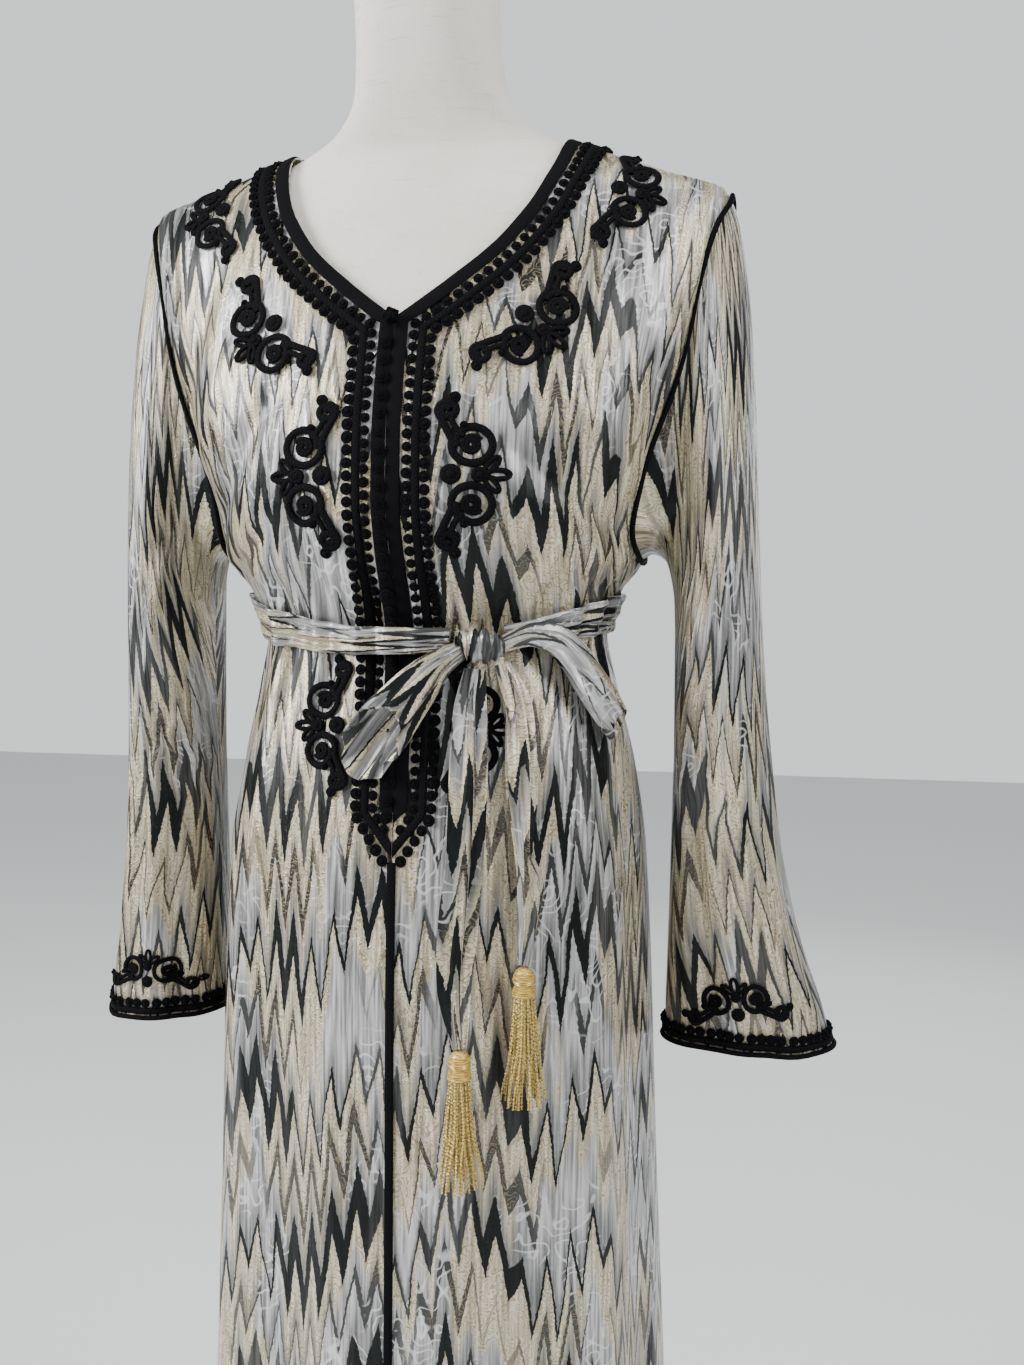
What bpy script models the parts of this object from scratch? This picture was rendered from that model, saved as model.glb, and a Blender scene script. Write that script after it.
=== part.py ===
"""Moroccan kaftan worn by a limbless dress form.

Metres, +Z up. The front of the kaftan faces -Y and its right side in this frame is +X. The origin is
the centre of the base's underside, so the form stands on the plane z = 0.

The cloth is a wall of even thickness. Below the underarm its points lie on level rings, and above it
they lie on planes that lean back from level (lean 0) to upright through the shoulders (lean 90), all
hinged on the line through the two underarms. Both kinds of row read the same table of sections.
"""

import math

import bmesh
import bpy
import numpy as np
from mathutils import Vector
from mathutils.bvhtree import BVHTree

MM = 0.001
CLOTH = 1.6 * MM
SEAM_GAP = 0.3 * MM
LAY_GAP = 0.45 * MM
RIGHT, LEFT = 1, -1
FRONT, BACK = -1, 1

HEM_HEIGHT = 0.035
UNDERARM_HEIGHT = 1.080
SHOULDER_LEAN = 90.0
V_LEAN = 57.0
NAPE_LEAN = 80.0

# The kaftan's outer sections, closed in at the waist by the belt.
BODY = (
    ("height", "half_width", "front", "back", "square"),
    (0.035, 0.200, 0.172, 0.168, 2.1),
    (0.250, 0.193, 0.163, 0.160, 2.1),
    (0.450, 0.187, 0.154, 0.152, 2.2),
    (0.600, 0.182, 0.147, 0.146, 2.2),
    (0.750, 0.178, 0.141, 0.140, 2.2),
    (0.850, 0.173, 0.134, 0.133, 2.2),
    (0.920, 0.163, 0.125, 0.124, 2.2),
    (0.980, 0.147, 0.114, 0.110, 2.2),
    (1.025, 0.137, 0.108, 0.100, 2.2),
    (1.055, 0.148, 0.118, 0.102, 2.2),
    (1.080, 0.167, 0.131, 0.108, 2.3),
    (1.125, 0.175, 0.143, 0.116, 2.4),
    (1.170, 0.189, 0.140, 0.121, 2.4),
    (1.215, 0.206, 0.129, 0.123, 2.4),
    (1.257, 0.219, 0.115, 0.121, 2.4),
    (1.300, 0.230, 0.098, 0.112, 2.4),
    (1.330, 0.235, 0.084, 0.098, 2.4),
    (1.350, 0.235, 0.073, 0.084, 2.4),
    (1.361, 0.232, 0.066, 0.074, 2.4),
    (1.375, 0.195, 0.056, 0.062, 2.4),
    (1.390, 0.153, 0.047, 0.053, 2.4),
    (1.405, 0.112, 0.040, 0.046, 2.4),
    (1.430, 0.060, 0.035, 0.040, 2.4),
    (1.460, 0.030, 0.030, 0.030, 2.4),
)
LOWER_ROWS = (HEM_HEIGHT, 0.17, 0.31, 0.45, 0.58, 0.69, 0.78, 0.86, 0.93, 0.985, 1.025, 1.055)
FRONT_LEANS = (0, 12, 27, 42, V_LEAN, 62, 67, 72, 76, 80, 84.5, SHOULDER_LEAN)
BACK_LEANS = (0, 12, 27, 42, 55, 64, 71, 76, NAPE_LEAN, 83, 86.5, SHOULDER_LEAN)
FRONT_COLUMNS = 10
BACK_COLUMNS = 8

# Where a leaning row starts (distance of the neckline from the centre) and ends (reach of the armhole).
FRONT_NECK = (("lean", "x"), (V_LEAN, 0.0), (63, 0.036), (70, 0.074), (77, 0.098), (84, 0.109), (90, 0.112))
BACK_NECK = (("lean", "x"), (NAPE_LEAN, 0.0), (82, 0.045), (84.5, 0.076), (87, 0.098), (90, 0.112))
ARMHOLE = (
    ("lean", "reach"),
    (0, 0.0),
    (10, 0.028),
    (22, 0.054),
    (45, 0.071),
    (63, 0.112),
    (72, 0.158),
    (77, 0.206),
    (82, 0.252),
    (90, 0.281),
)

# The largest folds of the skirt: angle round from the centre front, width, and how far each stands out
# (or, below zero, falls in) at the hem, the hip and the waist.
SKIRT_FOLDS = (
    ("angle", "width", "hem", "hip", "waist"),
    (14, 8, 5.0, 2.5, 1.0),
    (33, 9, -7.0, -4.0, -1.5),
    (52, 8, 7.0, 4.0, 1.5),
    (74, 9, -6.0, -4.5, -2.0),
    (101, 9, 5.0, -1.0, -1.0),
    (121, 9, -8.0, -4.0, -1.5),
    (142, 9, 8.0, 5.0, 2.0),
    (163, 8, -6.0, -4.0, -2.0),
    (184, 8, 6.0, 4.0, 2.0),
    (206, 9, -8.0, -4.5, -1.5),
    (229, 9, 8.0, 4.5, 1.5),
    (254, 9, -5.0, -3.5, -1.5),
    (287, 9, -7.0, -5.0, -2.0),
    (308, 9, 8.0, 4.0, 2.0),
    (329, 8, -6.0, -3.5, -1.0),
    (347, 7, 4.0, 2.0, 0.5),
)
FOLD_HEIGHTS = (HEM_HEIGHT, 0.78, 1.0, 1.075)
FOLD_STRENGTH = 1.25

# Soft troughs across the fronts, from one place to another, with their width and depth in millimetres.
FRONT_CREASES = (
    ("x", "z", "to_x", "to_z", "width", "depth"),
    (0.170, 1.095, 0.080, 1.170, 12, 3.0),
    (0.150, 1.060, 0.085, 1.105, 10, 2.5),
    (-0.165, 1.100, -0.085, 1.215, 12, 4.0),
    (-0.150, 1.065, -0.090, 1.110, 10, 3.0),
    (0.185, 1.200, 0.140, 1.330, 14, 3.0),
    (-0.190, 1.190, -0.150, 1.320, 14, 3.5),
)

# Both sleeves by their outer and inner lines and half their depth, from the armhole to the cuff.
SLEEVE = (
    ("step", "outer_x", "outer_z", "inner_x", "inner_z", "half_depth"),
    (0, 0.232, 1.361, 0.167, 1.080, 0.054),
    (1, 0.245, 1.330, 0.181, 1.090, 0.057),
    (2, 0.252, 1.270, 0.190, 1.080, 0.060),
    (3, 0.256, 1.195, 0.194, 1.052, 0.062),
    (4, 0.259, 1.120, 0.195, 1.018, 0.062),
    (5, 0.262, 1.050, 0.195, 0.980, 0.060),
    (6, 0.266, 0.985, 0.195, 0.935, 0.057),
    (7, 0.272, 0.922, 0.194, 0.888, 0.054),
    (8, 0.279, 0.865, 0.193, 0.843, 0.052),
    (9, 0.288, 0.815, 0.192, 0.802, 0.049),
    (10, 0.300, 0.770, 0.191, 0.763, 0.045),
    (11, 0.314, 0.730, 0.190, 0.727, 0.041),
    (12, 0.322, 0.698, 0.190, 0.699, 0.039),
)
CAP_BLEND = (0.0, 0.55, 0.9)
FLARE_START = 0.262
FLARE_SEEN = {RIGHT: 1.0, LEFT: 0.45}
SLEEVE_FOLDS = (("angle", "width", "top", "cuff"), (62, 17, -5, -4), (128, 16, 4, 6), (235, 17, -5, -6), (300, 16, 4, 5))

# Braided trim, by distance from the front edge or the neckline.
TRIM_HALF_WIDTH = 0.0325
BAND_INNER, BAND_OUTER, BAND_HEIGHT = 0.0012, 0.0105, 2.0 * MM
BRAID_INNER, BRAID_OUTER, BRAID_HEIGHT = 0.0195, 0.0250, 2.6 * MM
PICOT_LINE, PICOT_PITCH, PICOT_WIDTH, PICOT_HEIGHT = 0.0292, 0.0098, 7.2 * MM, 4.0 * MM
PICOT_TIP, BAND_TIP = 0.0046, 0.0006
V_CORNER = 0.41
BACK_STATIONS, BACK_LIFT = 24, 1.5 * MM
TIP_HEIGHT, POINT_HEIGHT, POINT_SLOPE = 0.850, 0.892, 1.75
BUTTON_X, BUTTON_PITCH, BUTTON_WIDTH, BUTTON_HEIGHT = -0.0050, 0.013, 8.6 * MM, 3.4 * MM
BUTTON_GAP = 0.9 * MM
NECK_BUTTON, BUTTON_LIFT = 0.0065, 0.7 * MM
FRONT_BRAID_WIDTH = 0.0066
PIPING, PIPING_GAP, PIPING_REACH = 0.0021, 1.3 * MM, 0.008
CUFF_BAND, CUFF_PICOT, CUFF_HEIGHT = 0.0115, 0.0075, 2.6 * MM
CUFF_GAP, CUFF_EASE = 0.9 * MM, 0.6 * MM
CUFF_WAVES = 22

# Scroll motif in its own plane: along the trim, and outwards from it.
COIL_AT, COIL_START, COIL_END, COIL_TURNS = (0.0206, 0.0215), 0.0040, 0.0130, 1.15
COIL_STEPS, CURL_STEPS = 8, 4
COIL_LEAVES, CURL_ENTERS = -66.0, -95.0
CURL_AT, CURL_RADIUS, CURL_TURN = (0.0450, 0.0055), 0.0062, 250.0
CORD_WIDTH, CORD_HEIGHT = 5.2 * MM, 2.6 * MM
MOTIF_BALLS = (
    ("along", "out", "radius"),
    (0.0, 0.0083, 0.0078),
    (0.0545, 0.0100, 0.0044),
    (-0.0545, 0.0100, 0.0044),
)
MOTIF_PETALS = (("turn", "length", "width"), (0, 0.0185, 0.0100), (52, 0.0170, 0.0085), (-52, 0.0170, 0.0085))
PETAL_ROOT = 0.0300
SHORTEST_EDGE = 0.3 * MM
MOTIF_HEART = (0.0215, 0.0115, 0.0270)
# Each motif's foot on the cloth, the turn of its outward axis from +X in the front view, its scale, and
# how far it lies off the cloth in millimetres.
MOTIFS = (
    ("name", "x", "z", "turn", "scale", "lift"),
    ("chest", 0.088, 1.262, -42, 0.95, 1.4),
    ("bust", 0.0385, 1.142, 0, 1.0, 2.0),
    ("waist", 0.0385, 0.958, 0, 0.92, 1.4),
)
SHOULDER_MOTIF_X, SHOULDER_MOTIF_LEAN, SHOULDER_MOTIF_SCALE = 0.148, 78.0, 0.85
CUFF_MOTIF_SCALE, CUFF_MOTIF_RISE = {RIGHT: 0.72, LEFT: 0.64}, 0.0265
SHOULDER_MOTIF_LIFT, CUFF_MOTIF_LIFT = 1.6, 1.8
CUFF_AWAY = (0.15, -1.0, 0.0)

BELT_HEIGHTS = (("angle", "height", "half_height"), (0, 1.022, 0.0100), (26, 1.024, 0.0085), (60, 1.034, 0.0125),
                (90, 1.039, 0.0155), (180, 1.036, 0.0160), (270, 1.039, 0.0165), (320, 1.028, 0.0135),
                (350, 1.022, 0.0105), (360, 1.022, 0.0100))
BELT_THICKNESS, BELT_GAP = 0.0055, 2.2 * MM
BELT_START, BELT_END, BELT_STATIONS = 31.3, 374.1, 34
OVER_TRIM = 0.0066

# The bow's own lines: place on the front, how far off the cloth, and the half sizes of the section.
KNOT = (("x", "z", "off", "half_width", "half_depth"), (0.0394, 1.019, 0.0130, 0.007, 0.006),
        (0.047, 1.020, 0.0145, 0.014, 0.0085), (0.058, 1.019, 0.0150, 0.0165, 0.0095),
        (0.069, 1.018, 0.0140, 0.013, 0.0085), (0.0770, 1.018, 0.0125, 0.006, 0.0055))
LEFT_LOOP = (("x", "z", "off", "half_width", "half_depth"), (0.0370, 1.0128, 0.0170, 0.0075, 0.0050),
             (0.0290, 1.0035, 0.0190, 0.0120, 0.0080), (0.0190, 0.9910, 0.0205, 0.0165, 0.0105),
             (0.0080, 0.9765, 0.0205, 0.0195, 0.0120), (-0.0030, 0.9620, 0.0195, 0.0205, 0.0125),
             (-0.0125, 0.9480, 0.0190, 0.0195, 0.0120))
RIGHT_LOOP = (("x", "z", "off", "half_width", "half_depth"), (0.0788, 1.0200, 0.0130, 0.0060, 0.0045),
              (0.0900, 1.0260, 0.0150, 0.0095, 0.0065), (0.1020, 1.0230, 0.0175, 0.0120, 0.0080),
              (0.1130, 1.0090, 0.0190, 0.0140, 0.0090), (0.1230, 0.9910, 0.0190, 0.0155, 0.0095),
              (0.1330, 0.9730, 0.0185, 0.0160, 0.0095), (0.1420, 0.9570, 0.0180, 0.0150, 0.0090))
LEFT_TAIL = (("x", "z", "off", "half_width", "half_depth"), (0.0560, 1.0013, 0.0100, 0.0085, 0.0040),
             (0.0540, 0.9670, 0.0105, 0.0135, 0.0038), (0.0545, 0.9160, 0.0096, 0.0150, 0.0035),
             (0.0535, 0.8650, 0.0075, 0.0150, 0.0035), (0.0500, 0.8200, 0.0075, 0.0160, 0.0034),
             (0.0480, 0.7750, 0.0105, 0.0140, 0.0034), (0.0530, 0.7300, 0.0195, 0.0060, 0.0034))
RIGHT_TAIL = (("x", "z", "off", "half_width", "half_depth"), (0.0740, 1.0056, 0.0100, 0.0075, 0.0040),
              (0.0860, 0.9670, 0.0090, 0.0120, 0.0040), (0.0905, 0.9160, 0.0085, 0.0130, 0.0038),
              (0.0935, 0.8690, 0.0090, 0.0075, 0.0060), (0.0985, 0.8430, 0.0095, 0.0105, 0.0045),
              (0.0970, 0.8130, 0.0115, 0.0070, 0.0055), (0.0940, 0.7880, 0.0150, 0.0055, 0.0040))

TASSEL_HEAD_HEIGHT, TASSEL_HEAD_RADIUS = 0.021, 0.0080
TASSEL_LENGTH, TASSEL_SPREAD, TASSEL_FLATNESS, TASSEL_SIDES = 0.085, 0.019, 0.25, 6
TASSEL_DROP = 0.0012

# The dress form, a smooth torso that ends in a short neck.
FORM = (
    ("height", "half_width", "front", "back", "middle"),
    (0.790, 0.128, 0.090, 0.090, 0.0),
    (0.797, 0.143, 0.104, 0.103, 0.0),
    (0.840, 0.154, 0.114, 0.113, 0.0),
    (0.900, 0.149, 0.110, 0.108, 0.0),
    (0.960, 0.133, 0.098, 0.095, 0.0),
    (1.020, 0.119, 0.088, 0.082, 0.0),
    (1.080, 0.134, 0.106, 0.090, 0.0),
    (1.140, 0.150, 0.130, 0.102, 0.0),
    (1.200, 0.162, 0.124, 0.110, 0.0),
    (1.257, 0.178, 0.1105, 0.112, 0.0),
    (1.300, 0.188, 0.0930, 0.104, 0.0),
    (1.330, 0.193, 0.0790, 0.090, 0.0),
    (1.352, 0.194, 0.0665, 0.075, 0.0),
    (1.3710, 0.191, 0.0530, 0.0580, 0.0),
    (1.3860, 0.150, 0.0440, 0.0490, 0.0),
    (1.4010, 0.1115, 0.0375, 0.0425, 0.0),
    (1.420, 0.078, 0.0420, 0.0430, -0.0030),
    (1.445, 0.0610, 0.0500, 0.0500, -0.0090),
    (1.490, 0.0560, 0.0550, 0.0550, -0.0180),
    (1.550, 0.0560, 0.0560, 0.0560, -0.0250),
)
FORM_SIDES = 24
BASE_SIDES = 36
CAP_THICKNESS = 0.012
POLE_RADIUS = 0.014
BASE_RADIUS, BASE_THICKNESS = 0.145, 0.012


# Tables and curves


def read(table, name, at):
    """A named column of a table at any value of its first column, on a curve that never overshoots."""
    rows = np.array(table[1:], float)
    keys, values = rows[:, 0], rows[:, table[0].index(name)]
    rise = np.diff(values) / np.diff(keys)
    product = rise[:-1] * rise[1:]
    total = np.where(product > 0, rise[:-1] + rise[1:], 1.0)
    inner = np.where(product > 0, 2 * product / total, 0.0)
    slopes = np.concatenate([rise[:1], inner, rise[-1:]])
    at = np.clip(np.asarray(at, float), keys[0], keys[-1])
    i = np.clip(np.searchsorted(keys, at, side="right") - 1, 0, len(keys) - 2)
    span = keys[i + 1] - keys[i]
    t = (at - keys[i]) / span
    return (
        (1 + 2 * t) * (1 - t) ** 2 * values[i]
        + t * (1 - t) ** 2 * span * slopes[i]
        + t * t * (3 - 2 * t) * values[i + 1]
        + t * t * (t - 1) * span * slopes[i + 1]
    )


def unit(vectors):
    vectors = np.asarray(vectors, float)
    return vectors / np.maximum(np.linalg.norm(vectors, axis=-1, keepdims=True), 1e-12)


def resampled(points, count):
    """A polyline's points spread evenly along its length."""
    points = np.asarray(points, float)
    along = np.concatenate([[0], np.cumsum(np.linalg.norm(np.diff(points, axis=0), axis=1))])
    at = np.linspace(0, along[-1], count)
    return np.stack([np.interp(at, along, points[:, k]) for k in range(3)], axis=1)


def length_of(points):
    return np.linalg.norm(np.diff(points, axis=0), axis=1).sum()


# The kaftan's outer surface


def skirt_fold(angle, height):
    """How far the cloth stands out of its section, in metres, at an angle round from the centre front."""
    out = np.zeros(np.broadcast(angle, height).shape)
    for turn, width, hem, hip, waist in SKIRT_FOLDS[1:]:
        away = (angle - turn + 180) % 360 - 180
        depth = np.interp(height, FOLD_HEIGHTS, (hem, hip, waist, 0.0)) * FOLD_STRENGTH * MM
        out += depth * np.exp(-((away / width) ** 2))
    return out


def crease_depth(x, z):
    """How deep the soft troughs of the fronts are at a place in the front view."""
    depth = np.zeros(np.broadcast(x, z).shape)
    for ax, az, bx, bz, width, most in FRONT_CREASES[1:]:
        dx, dz = bx - ax, bz - az
        length = math.hypot(dx, dz)
        along = ((x - ax) * dx + (z - az) * dz) / length**2
        across = ((x - ax) * dz - (z - az) * dx) / length
        fade = np.exp(-((np.maximum(np.abs(along - 0.5) - 0.3, 0) / 0.22) ** 2))
        depth += most * MM * fade * np.exp(-((across / (width * MM)) ** 2))
    return depth


def ring_row(height, angles):
    """Outer points of the level ring at this height, at angles in degrees from the centre front."""
    turn = np.radians(angles)
    power = 2 / read(BODY, "square", height)
    side, ahead = np.sin(turn), np.cos(turn)
    depth = np.where(ahead > 0, read(BODY, "front", height), read(BODY, "back", height))
    x = read(BODY, "half_width", height) * np.sign(side) * np.abs(side) ** power
    y = -depth * np.sign(ahead) * np.abs(ahead) ** power
    out = skirt_fold(np.asarray(angles, float), height)
    return np.stack([x + out * side, y - out * ahead, np.full_like(x, height)], axis=1)


def outside(points):
    """Below zero inside the kaftan's section, above zero outside it."""
    x, y, z = points[..., 0], points[..., 1], points[..., 2]
    square = read(BODY, "square", z)
    depth = np.where(y < 0, read(BODY, "front", z), read(BODY, "back", z))
    return (np.abs(x) / read(BODY, "half_width", z)) ** square + (np.abs(y) / depth) ** square - 1


def outward(points):
    """The smooth section's outward direction at each point."""
    step = 0.2 * MM
    slopes = [outside(points + step * axis) - outside(points - step * axis) for axis in np.eye(3)]
    return unit(np.stack(slopes, axis=-1))


def leaning_row(lean, face):
    """A dense row of outer points in one leaning plane, from the neckline or centre to the armhole."""
    swing = np.radians(np.linspace(89.95, 0.05, 240))
    tilt = math.radians(lean)
    rays = np.stack([np.cos(swing), face * np.sin(swing) * math.cos(tilt), np.sin(swing) * math.sin(tilt)], axis=1)
    near, far = np.full(len(swing), 0.05), np.full(len(swing), 0.42)
    start = np.array([0, 0, UNDERARM_HEIGHT])
    for _ in range(40):
        middle = (near + far) / 2
        out = outside(start + rays * middle[:, None]) > 0
        far = np.where(out, middle, far)
        near = np.where(out, near, middle)
    points = start + rays * far[:, None]
    reach = far * np.sin(swing)
    neck, first = (FRONT_NECK, V_LEAN) if face == FRONT else (BACK_NECK, NAPE_LEAN)
    x_in = 0.0 if lean <= first else float(read(neck, "x", lean))
    from_neck = 0.0 if x_in == 0 else np.interp(x_in, points[:, 0], np.arange(len(points)))
    to_armhole = np.interp(-read(ARMHOLE, "reach", lean), -reach, np.arange(len(points)))
    at = np.concatenate([[from_neck], np.arange(math.ceil(from_neck + 0.5), math.floor(to_armhole - 0.5)), [to_armhole]])
    row = np.stack([np.interp(at, np.arange(len(points)), points[:, k]) for k in range(3)], axis=1)
    row[0, 0] = x_in
    return row


def panel_half(face, hand, columns, leans):
    """Outer points of one half of a body panel, rows from hem to shoulder, columns from centre to side."""
    rows = []
    start, end = (0.0, 90.0) if face == FRONT else (180.0, 90.0)
    for height in LOWER_ROWS:
        ring = ring_row(height, hand * np.linspace(start, end, 91))
        rows.append(resampled(ring, columns + 1) * (hand, 1, 1))
    rows.extend(resampled(leaning_row(lean, face), columns + 1) for lean in leans)
    grid = np.array(rows)
    if face == FRONT:
        x, z = grid[..., 0] * hand, grid[..., 2]
        edge = np.clip((read(BODY, "half_width", z) - grid[..., 0]) / 0.03, 0, 1)
        upright = np.clip(-grid[..., 1] / 0.06, 0, 1)
        grid[..., 1] += crease_depth(x, z) * edge * upright * np.clip(grid[..., 0] / 0.05, 0, 1)
    return grid * (hand, 1, 1)


def sleeve_grid(hand, ring):
    """Outer points of a sleeve: its first ring is the armhole, and the others slant, then level out."""
    half = len(ring) // 2
    front = np.concatenate([[0], np.cumsum(np.linalg.norm(np.diff(ring[: half + 1], axis=0), axis=1))])
    back_ring = np.vstack([ring[half:], ring[:1]])
    back = np.concatenate([[0], np.cumsum(np.linalg.norm(np.diff(back_ring, axis=0), axis=1))])
    turn = np.concatenate([front / front[-1] * 180, 180 + back[1:-1] / back[-1] * 180])
    angle = np.radians(turn)
    rows = []
    for step, outer_x, outer_z, inner_x, inner_z, depth in SLEEVE[1:]:
        seen = min(outer_x, FLARE_START) + max(outer_x - FLARE_START, 0) * FLARE_SEEN[hand]
        depth += (outer_x - seen) * 0.5
        outer, inner = np.array([seen, 0, outer_z]), np.array([inner_x, 0, inner_z])
        middle, reach = (outer + inner) / 2, (outer - inner) / 2
        share = step / (len(SLEEVE) - 2)
        fold = np.zeros(len(turn))
        for at, width, top, cuff in SLEEVE_FOLDS[1:]:
            away = (turn - at + 180) % 360 - 180
            fold += (top + (cuff - top) * share) * MM * np.exp(-((away / width) ** 2))
        section = middle - np.cos(angle)[:, None] * reach
        section[:, 1] -= np.sin(angle) * (depth + fold)
        blend = CAP_BLEND[step] if step < len(CAP_BLEND) else 1.0
        rows.append(ring * (hand, 1, 1) * (1 - blend) + section * blend)
    return np.array(rows) * (hand, 1, 1)


# Closed walls


def material(name, colour, roughness, metallic=0.0):
    made = bpy.data.materials.new(name)
    made.use_nodes = True
    shader = made.node_tree.nodes["Principled BSDF"]
    shader.inputs["Base Color"].default_value = (*colour, 1)
    shader.inputs["Roughness"].default_value = roughness
    shader.inputs["Metallic"].default_value = metallic
    return made


def add_object(name, points, faces, finish, smooth=True):
    mesh = bpy.data.meshes.new(name)
    mesh.from_pydata([tuple(p) for p in points], [], [tuple(f) for f in faces])
    bm = bmesh.new()
    bm.from_mesh(mesh)
    bmesh.ops.triangulate(bm, faces=[f for f in bm.faces if len(f.verts) > 3])
    bmesh.ops.recalc_face_normals(bm, faces=bm.faces)
    if bm.calc_volume(signed=True) < 0:
        bmesh.ops.reverse_faces(bm, faces=bm.faces)
    bm.to_mesh(mesh)
    bm.free()
    mesh.materials.append(finish)
    if smooth:
        mesh.shade_smooth()
        mesh.set_sharp_from_angle(angle=math.radians(40))
    made = bpy.data.objects.new(name, mesh)
    bpy.context.scene.collection.objects.link(made)
    return made


def grid_faces(rows, columns, start=0, wrap=False):
    """Quads of a grid of points, stored row by row."""
    faces = []
    for i in range(rows - 1):
        for j in range(columns if wrap else columns - 1):
            k = (j + 1) % columns
            a, b = start + i * columns, start + (i + 1) * columns
            faces.append((a + j, a + k, b + k, b + j))
    return faces


def edge_uses(faces):
    uses = {}
    for face in faces:
        for a, b in zip(face, face[1:] + face[:1]):
            uses.setdefault(frozenset((a, b)), []).append((a, b))
    return uses


def cloth_wall(name, points, faces, normals, finish):
    """A sheet given its thickness inwards, eased back along its edge by half a seam gap."""
    points, normals = np.array(points, float), unit(normals)
    border = [pair[0] for pair in edge_uses(faces).values() if len(pair) == 1]
    centres = {}
    for face in faces:
        for corner in face:
            centres.setdefault(corner, []).append(points[list(face)].mean(axis=0))
    for corner in {end for pair in border for end in pair}:
        inwards = np.mean(centres[corner], axis=0) - points[corner]
        inwards -= normals[corner] * np.dot(inwards, normals[corner])
        points[corner] += unit(inwards) * SEAM_GAP * 0.6
    count = len(points)
    everything = np.vstack([points, points - normals * CLOTH])
    walls = [tuple(reversed([count + k for k in face])) for face in faces]
    rims = [(b, a, count + a, count + b) for a, b in border]
    return add_object(name, everything, list(faces) + walls + rims, finish)


def sheet_normals(grid, wrap):
    """Outward normals of a ringed grid from its neighbours."""
    if wrap:
        across = np.roll(grid, -1, axis=1) - np.roll(grid, 1, axis=1)
    else:
        across = np.gradient(grid, axis=1)
    return unit(np.cross(across, np.gradient(grid, axis=0)))


# What is laid on the cloth


def laid(tree, point, away, lift, reach=0.06):
    """The place on the cloth under a point, moved out by the lift; past the cloth's edge the point is kept."""
    point, away = Vector(point), Vector(away).normalized()
    hit = tree.ray_cast(point + away * reach, -away, 2 * reach)[0]
    return np.array((hit or point) + away * lift)


def tube(name, rings, finish, closed=False, smooth=True):
    """A closed solid through rings of equal count, capped at both ends unless it closes on itself."""
    rings = np.array(rings)
    count, sides = rings.shape[:2]
    faces = grid_faces(count, sides, wrap=True)
    if closed:
        last = (count - 1) * sides
        faces += [(last + j, last + (j + 1) % sides, (j + 1) % sides, j) for j in range(sides)]
    else:
        faces += [tuple(reversed(range(sides))), tuple(range((count - 1) * sides, count * sides))]
    return add_object(name, rings.reshape(-1, 3), faces, finish, smooth)


def ribbon(name, inner, outer, height, finish, lift=LAY_GAP):
    """A flat braid between two lines on the body of the kaftan."""
    rings = []
    for a, b in zip(inner, outer):
        spots = ((a, lift), (b, lift), (b, lift + height), (a, lift + height))
        rings.append([laid(BODY_TREE, spot, outward(spot), level) for spot, level in spots])
    return tube(name, rings, finish)


def beads(name, line, pitch, width, height, lift, finish):
    """A row of knotted silk balls sewn side by side: a strip that swells and narrows with each ball."""
    count = max(2, round(length_of(line) / pitch))
    points = resampled(line, 2 * count + 1)
    along = unit(np.gradient(points, axis=0))
    rings = []
    for k, point in enumerate(points):
        away = outward(point)
        side = unit(np.cross(along[k], away))
        full = 1.0 if k % 2 else 0.38
        spots = [point - side * width / 2 * full, point + side * width / 2 * full]
        low = [laid(BODY_TREE, spot, away, lift) for spot in spots]
        rings.append(low + [laid(BODY_TREE, point, away, lift + height * (0.45 + 0.55 * full))])
    return tube(name, rings, finish)


def edge_line(grid, distance, rows):
    """The point of each of these panel rows that lies at a distance from the panel's centre or neckline edge."""
    edge = resampled(grid[:, 0], 3000)
    line = []
    for row in rows:
        dense = resampled(grid[row], 240)
        near = edge[np.linalg.norm(edge - dense[0], axis=1) < 2 * TRIM_HALF_WIDTH]
        gaps = np.linalg.norm(dense[:, None] - near[None], axis=2).min(axis=1)
        past = int(np.argmax(gaps > distance))
        share = (distance - gaps[past - 1]) / (gaps[past] - gaps[past - 1])
        line.append(dense[past - 1] * (1 - share) + dense[past] * share)
    return np.array(line)


def front_line(distance, hand, tip_x=BAND_TIP):
    """A line at this distance from the front edge: from the placket's tip up, then along the neckline."""
    grid = fronts[hand]
    point_height = POINT_HEIGHT + (TRIM_HALF_WIDTH - distance) * 0.25
    v_row = first_leaning + FRONT_LEANS.index(V_LEAN)
    v_point = grid[v_row, 0, 2]
    straight = edge_line(grid, distance, [i for i in range(v_row) if grid[i, 0, 2] > point_height + 0.01])
    around = edge_line(grid, distance, range(v_row, len(grid)))
    around[-1] += unit(around[-2] - around[-1]) * SEAM_GAP
    turns = [(tip_x, TIP_HEIGHT + (TRIM_HALF_WIDTH - distance) * POINT_SLOPE), (distance, point_height),
             (distance, v_point - distance * V_CORNER)]
    placed = [(x * hand, -float(read(BODY, "front", z)), z) for x, z in turns]
    return np.vstack([placed[:2], straight, placed[2:], around])


def back_line(distance):
    """A line at this distance from the neckline behind, from one shoulder seam round to the other."""
    leans = np.linspace(NAPE_LEAN, SHOULDER_LEAN - 0.15, 24)
    neck = np.array([leaning_row(lean, BACK)[0] for lean in leans])
    along = unit(np.gradient(np.vstack([neck[1:2] * (-1, 1, 1), neck]), axis=0))[1:]
    aside = unit(np.cross(along, outward(neck)))
    aside *= np.where(aside[:, 2:] > 0, -1, 1)
    line = neck + aside * distance
    return np.vstack([line[:0:-1] * (-1, 1, 1), line])


# The scroll motif


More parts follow.
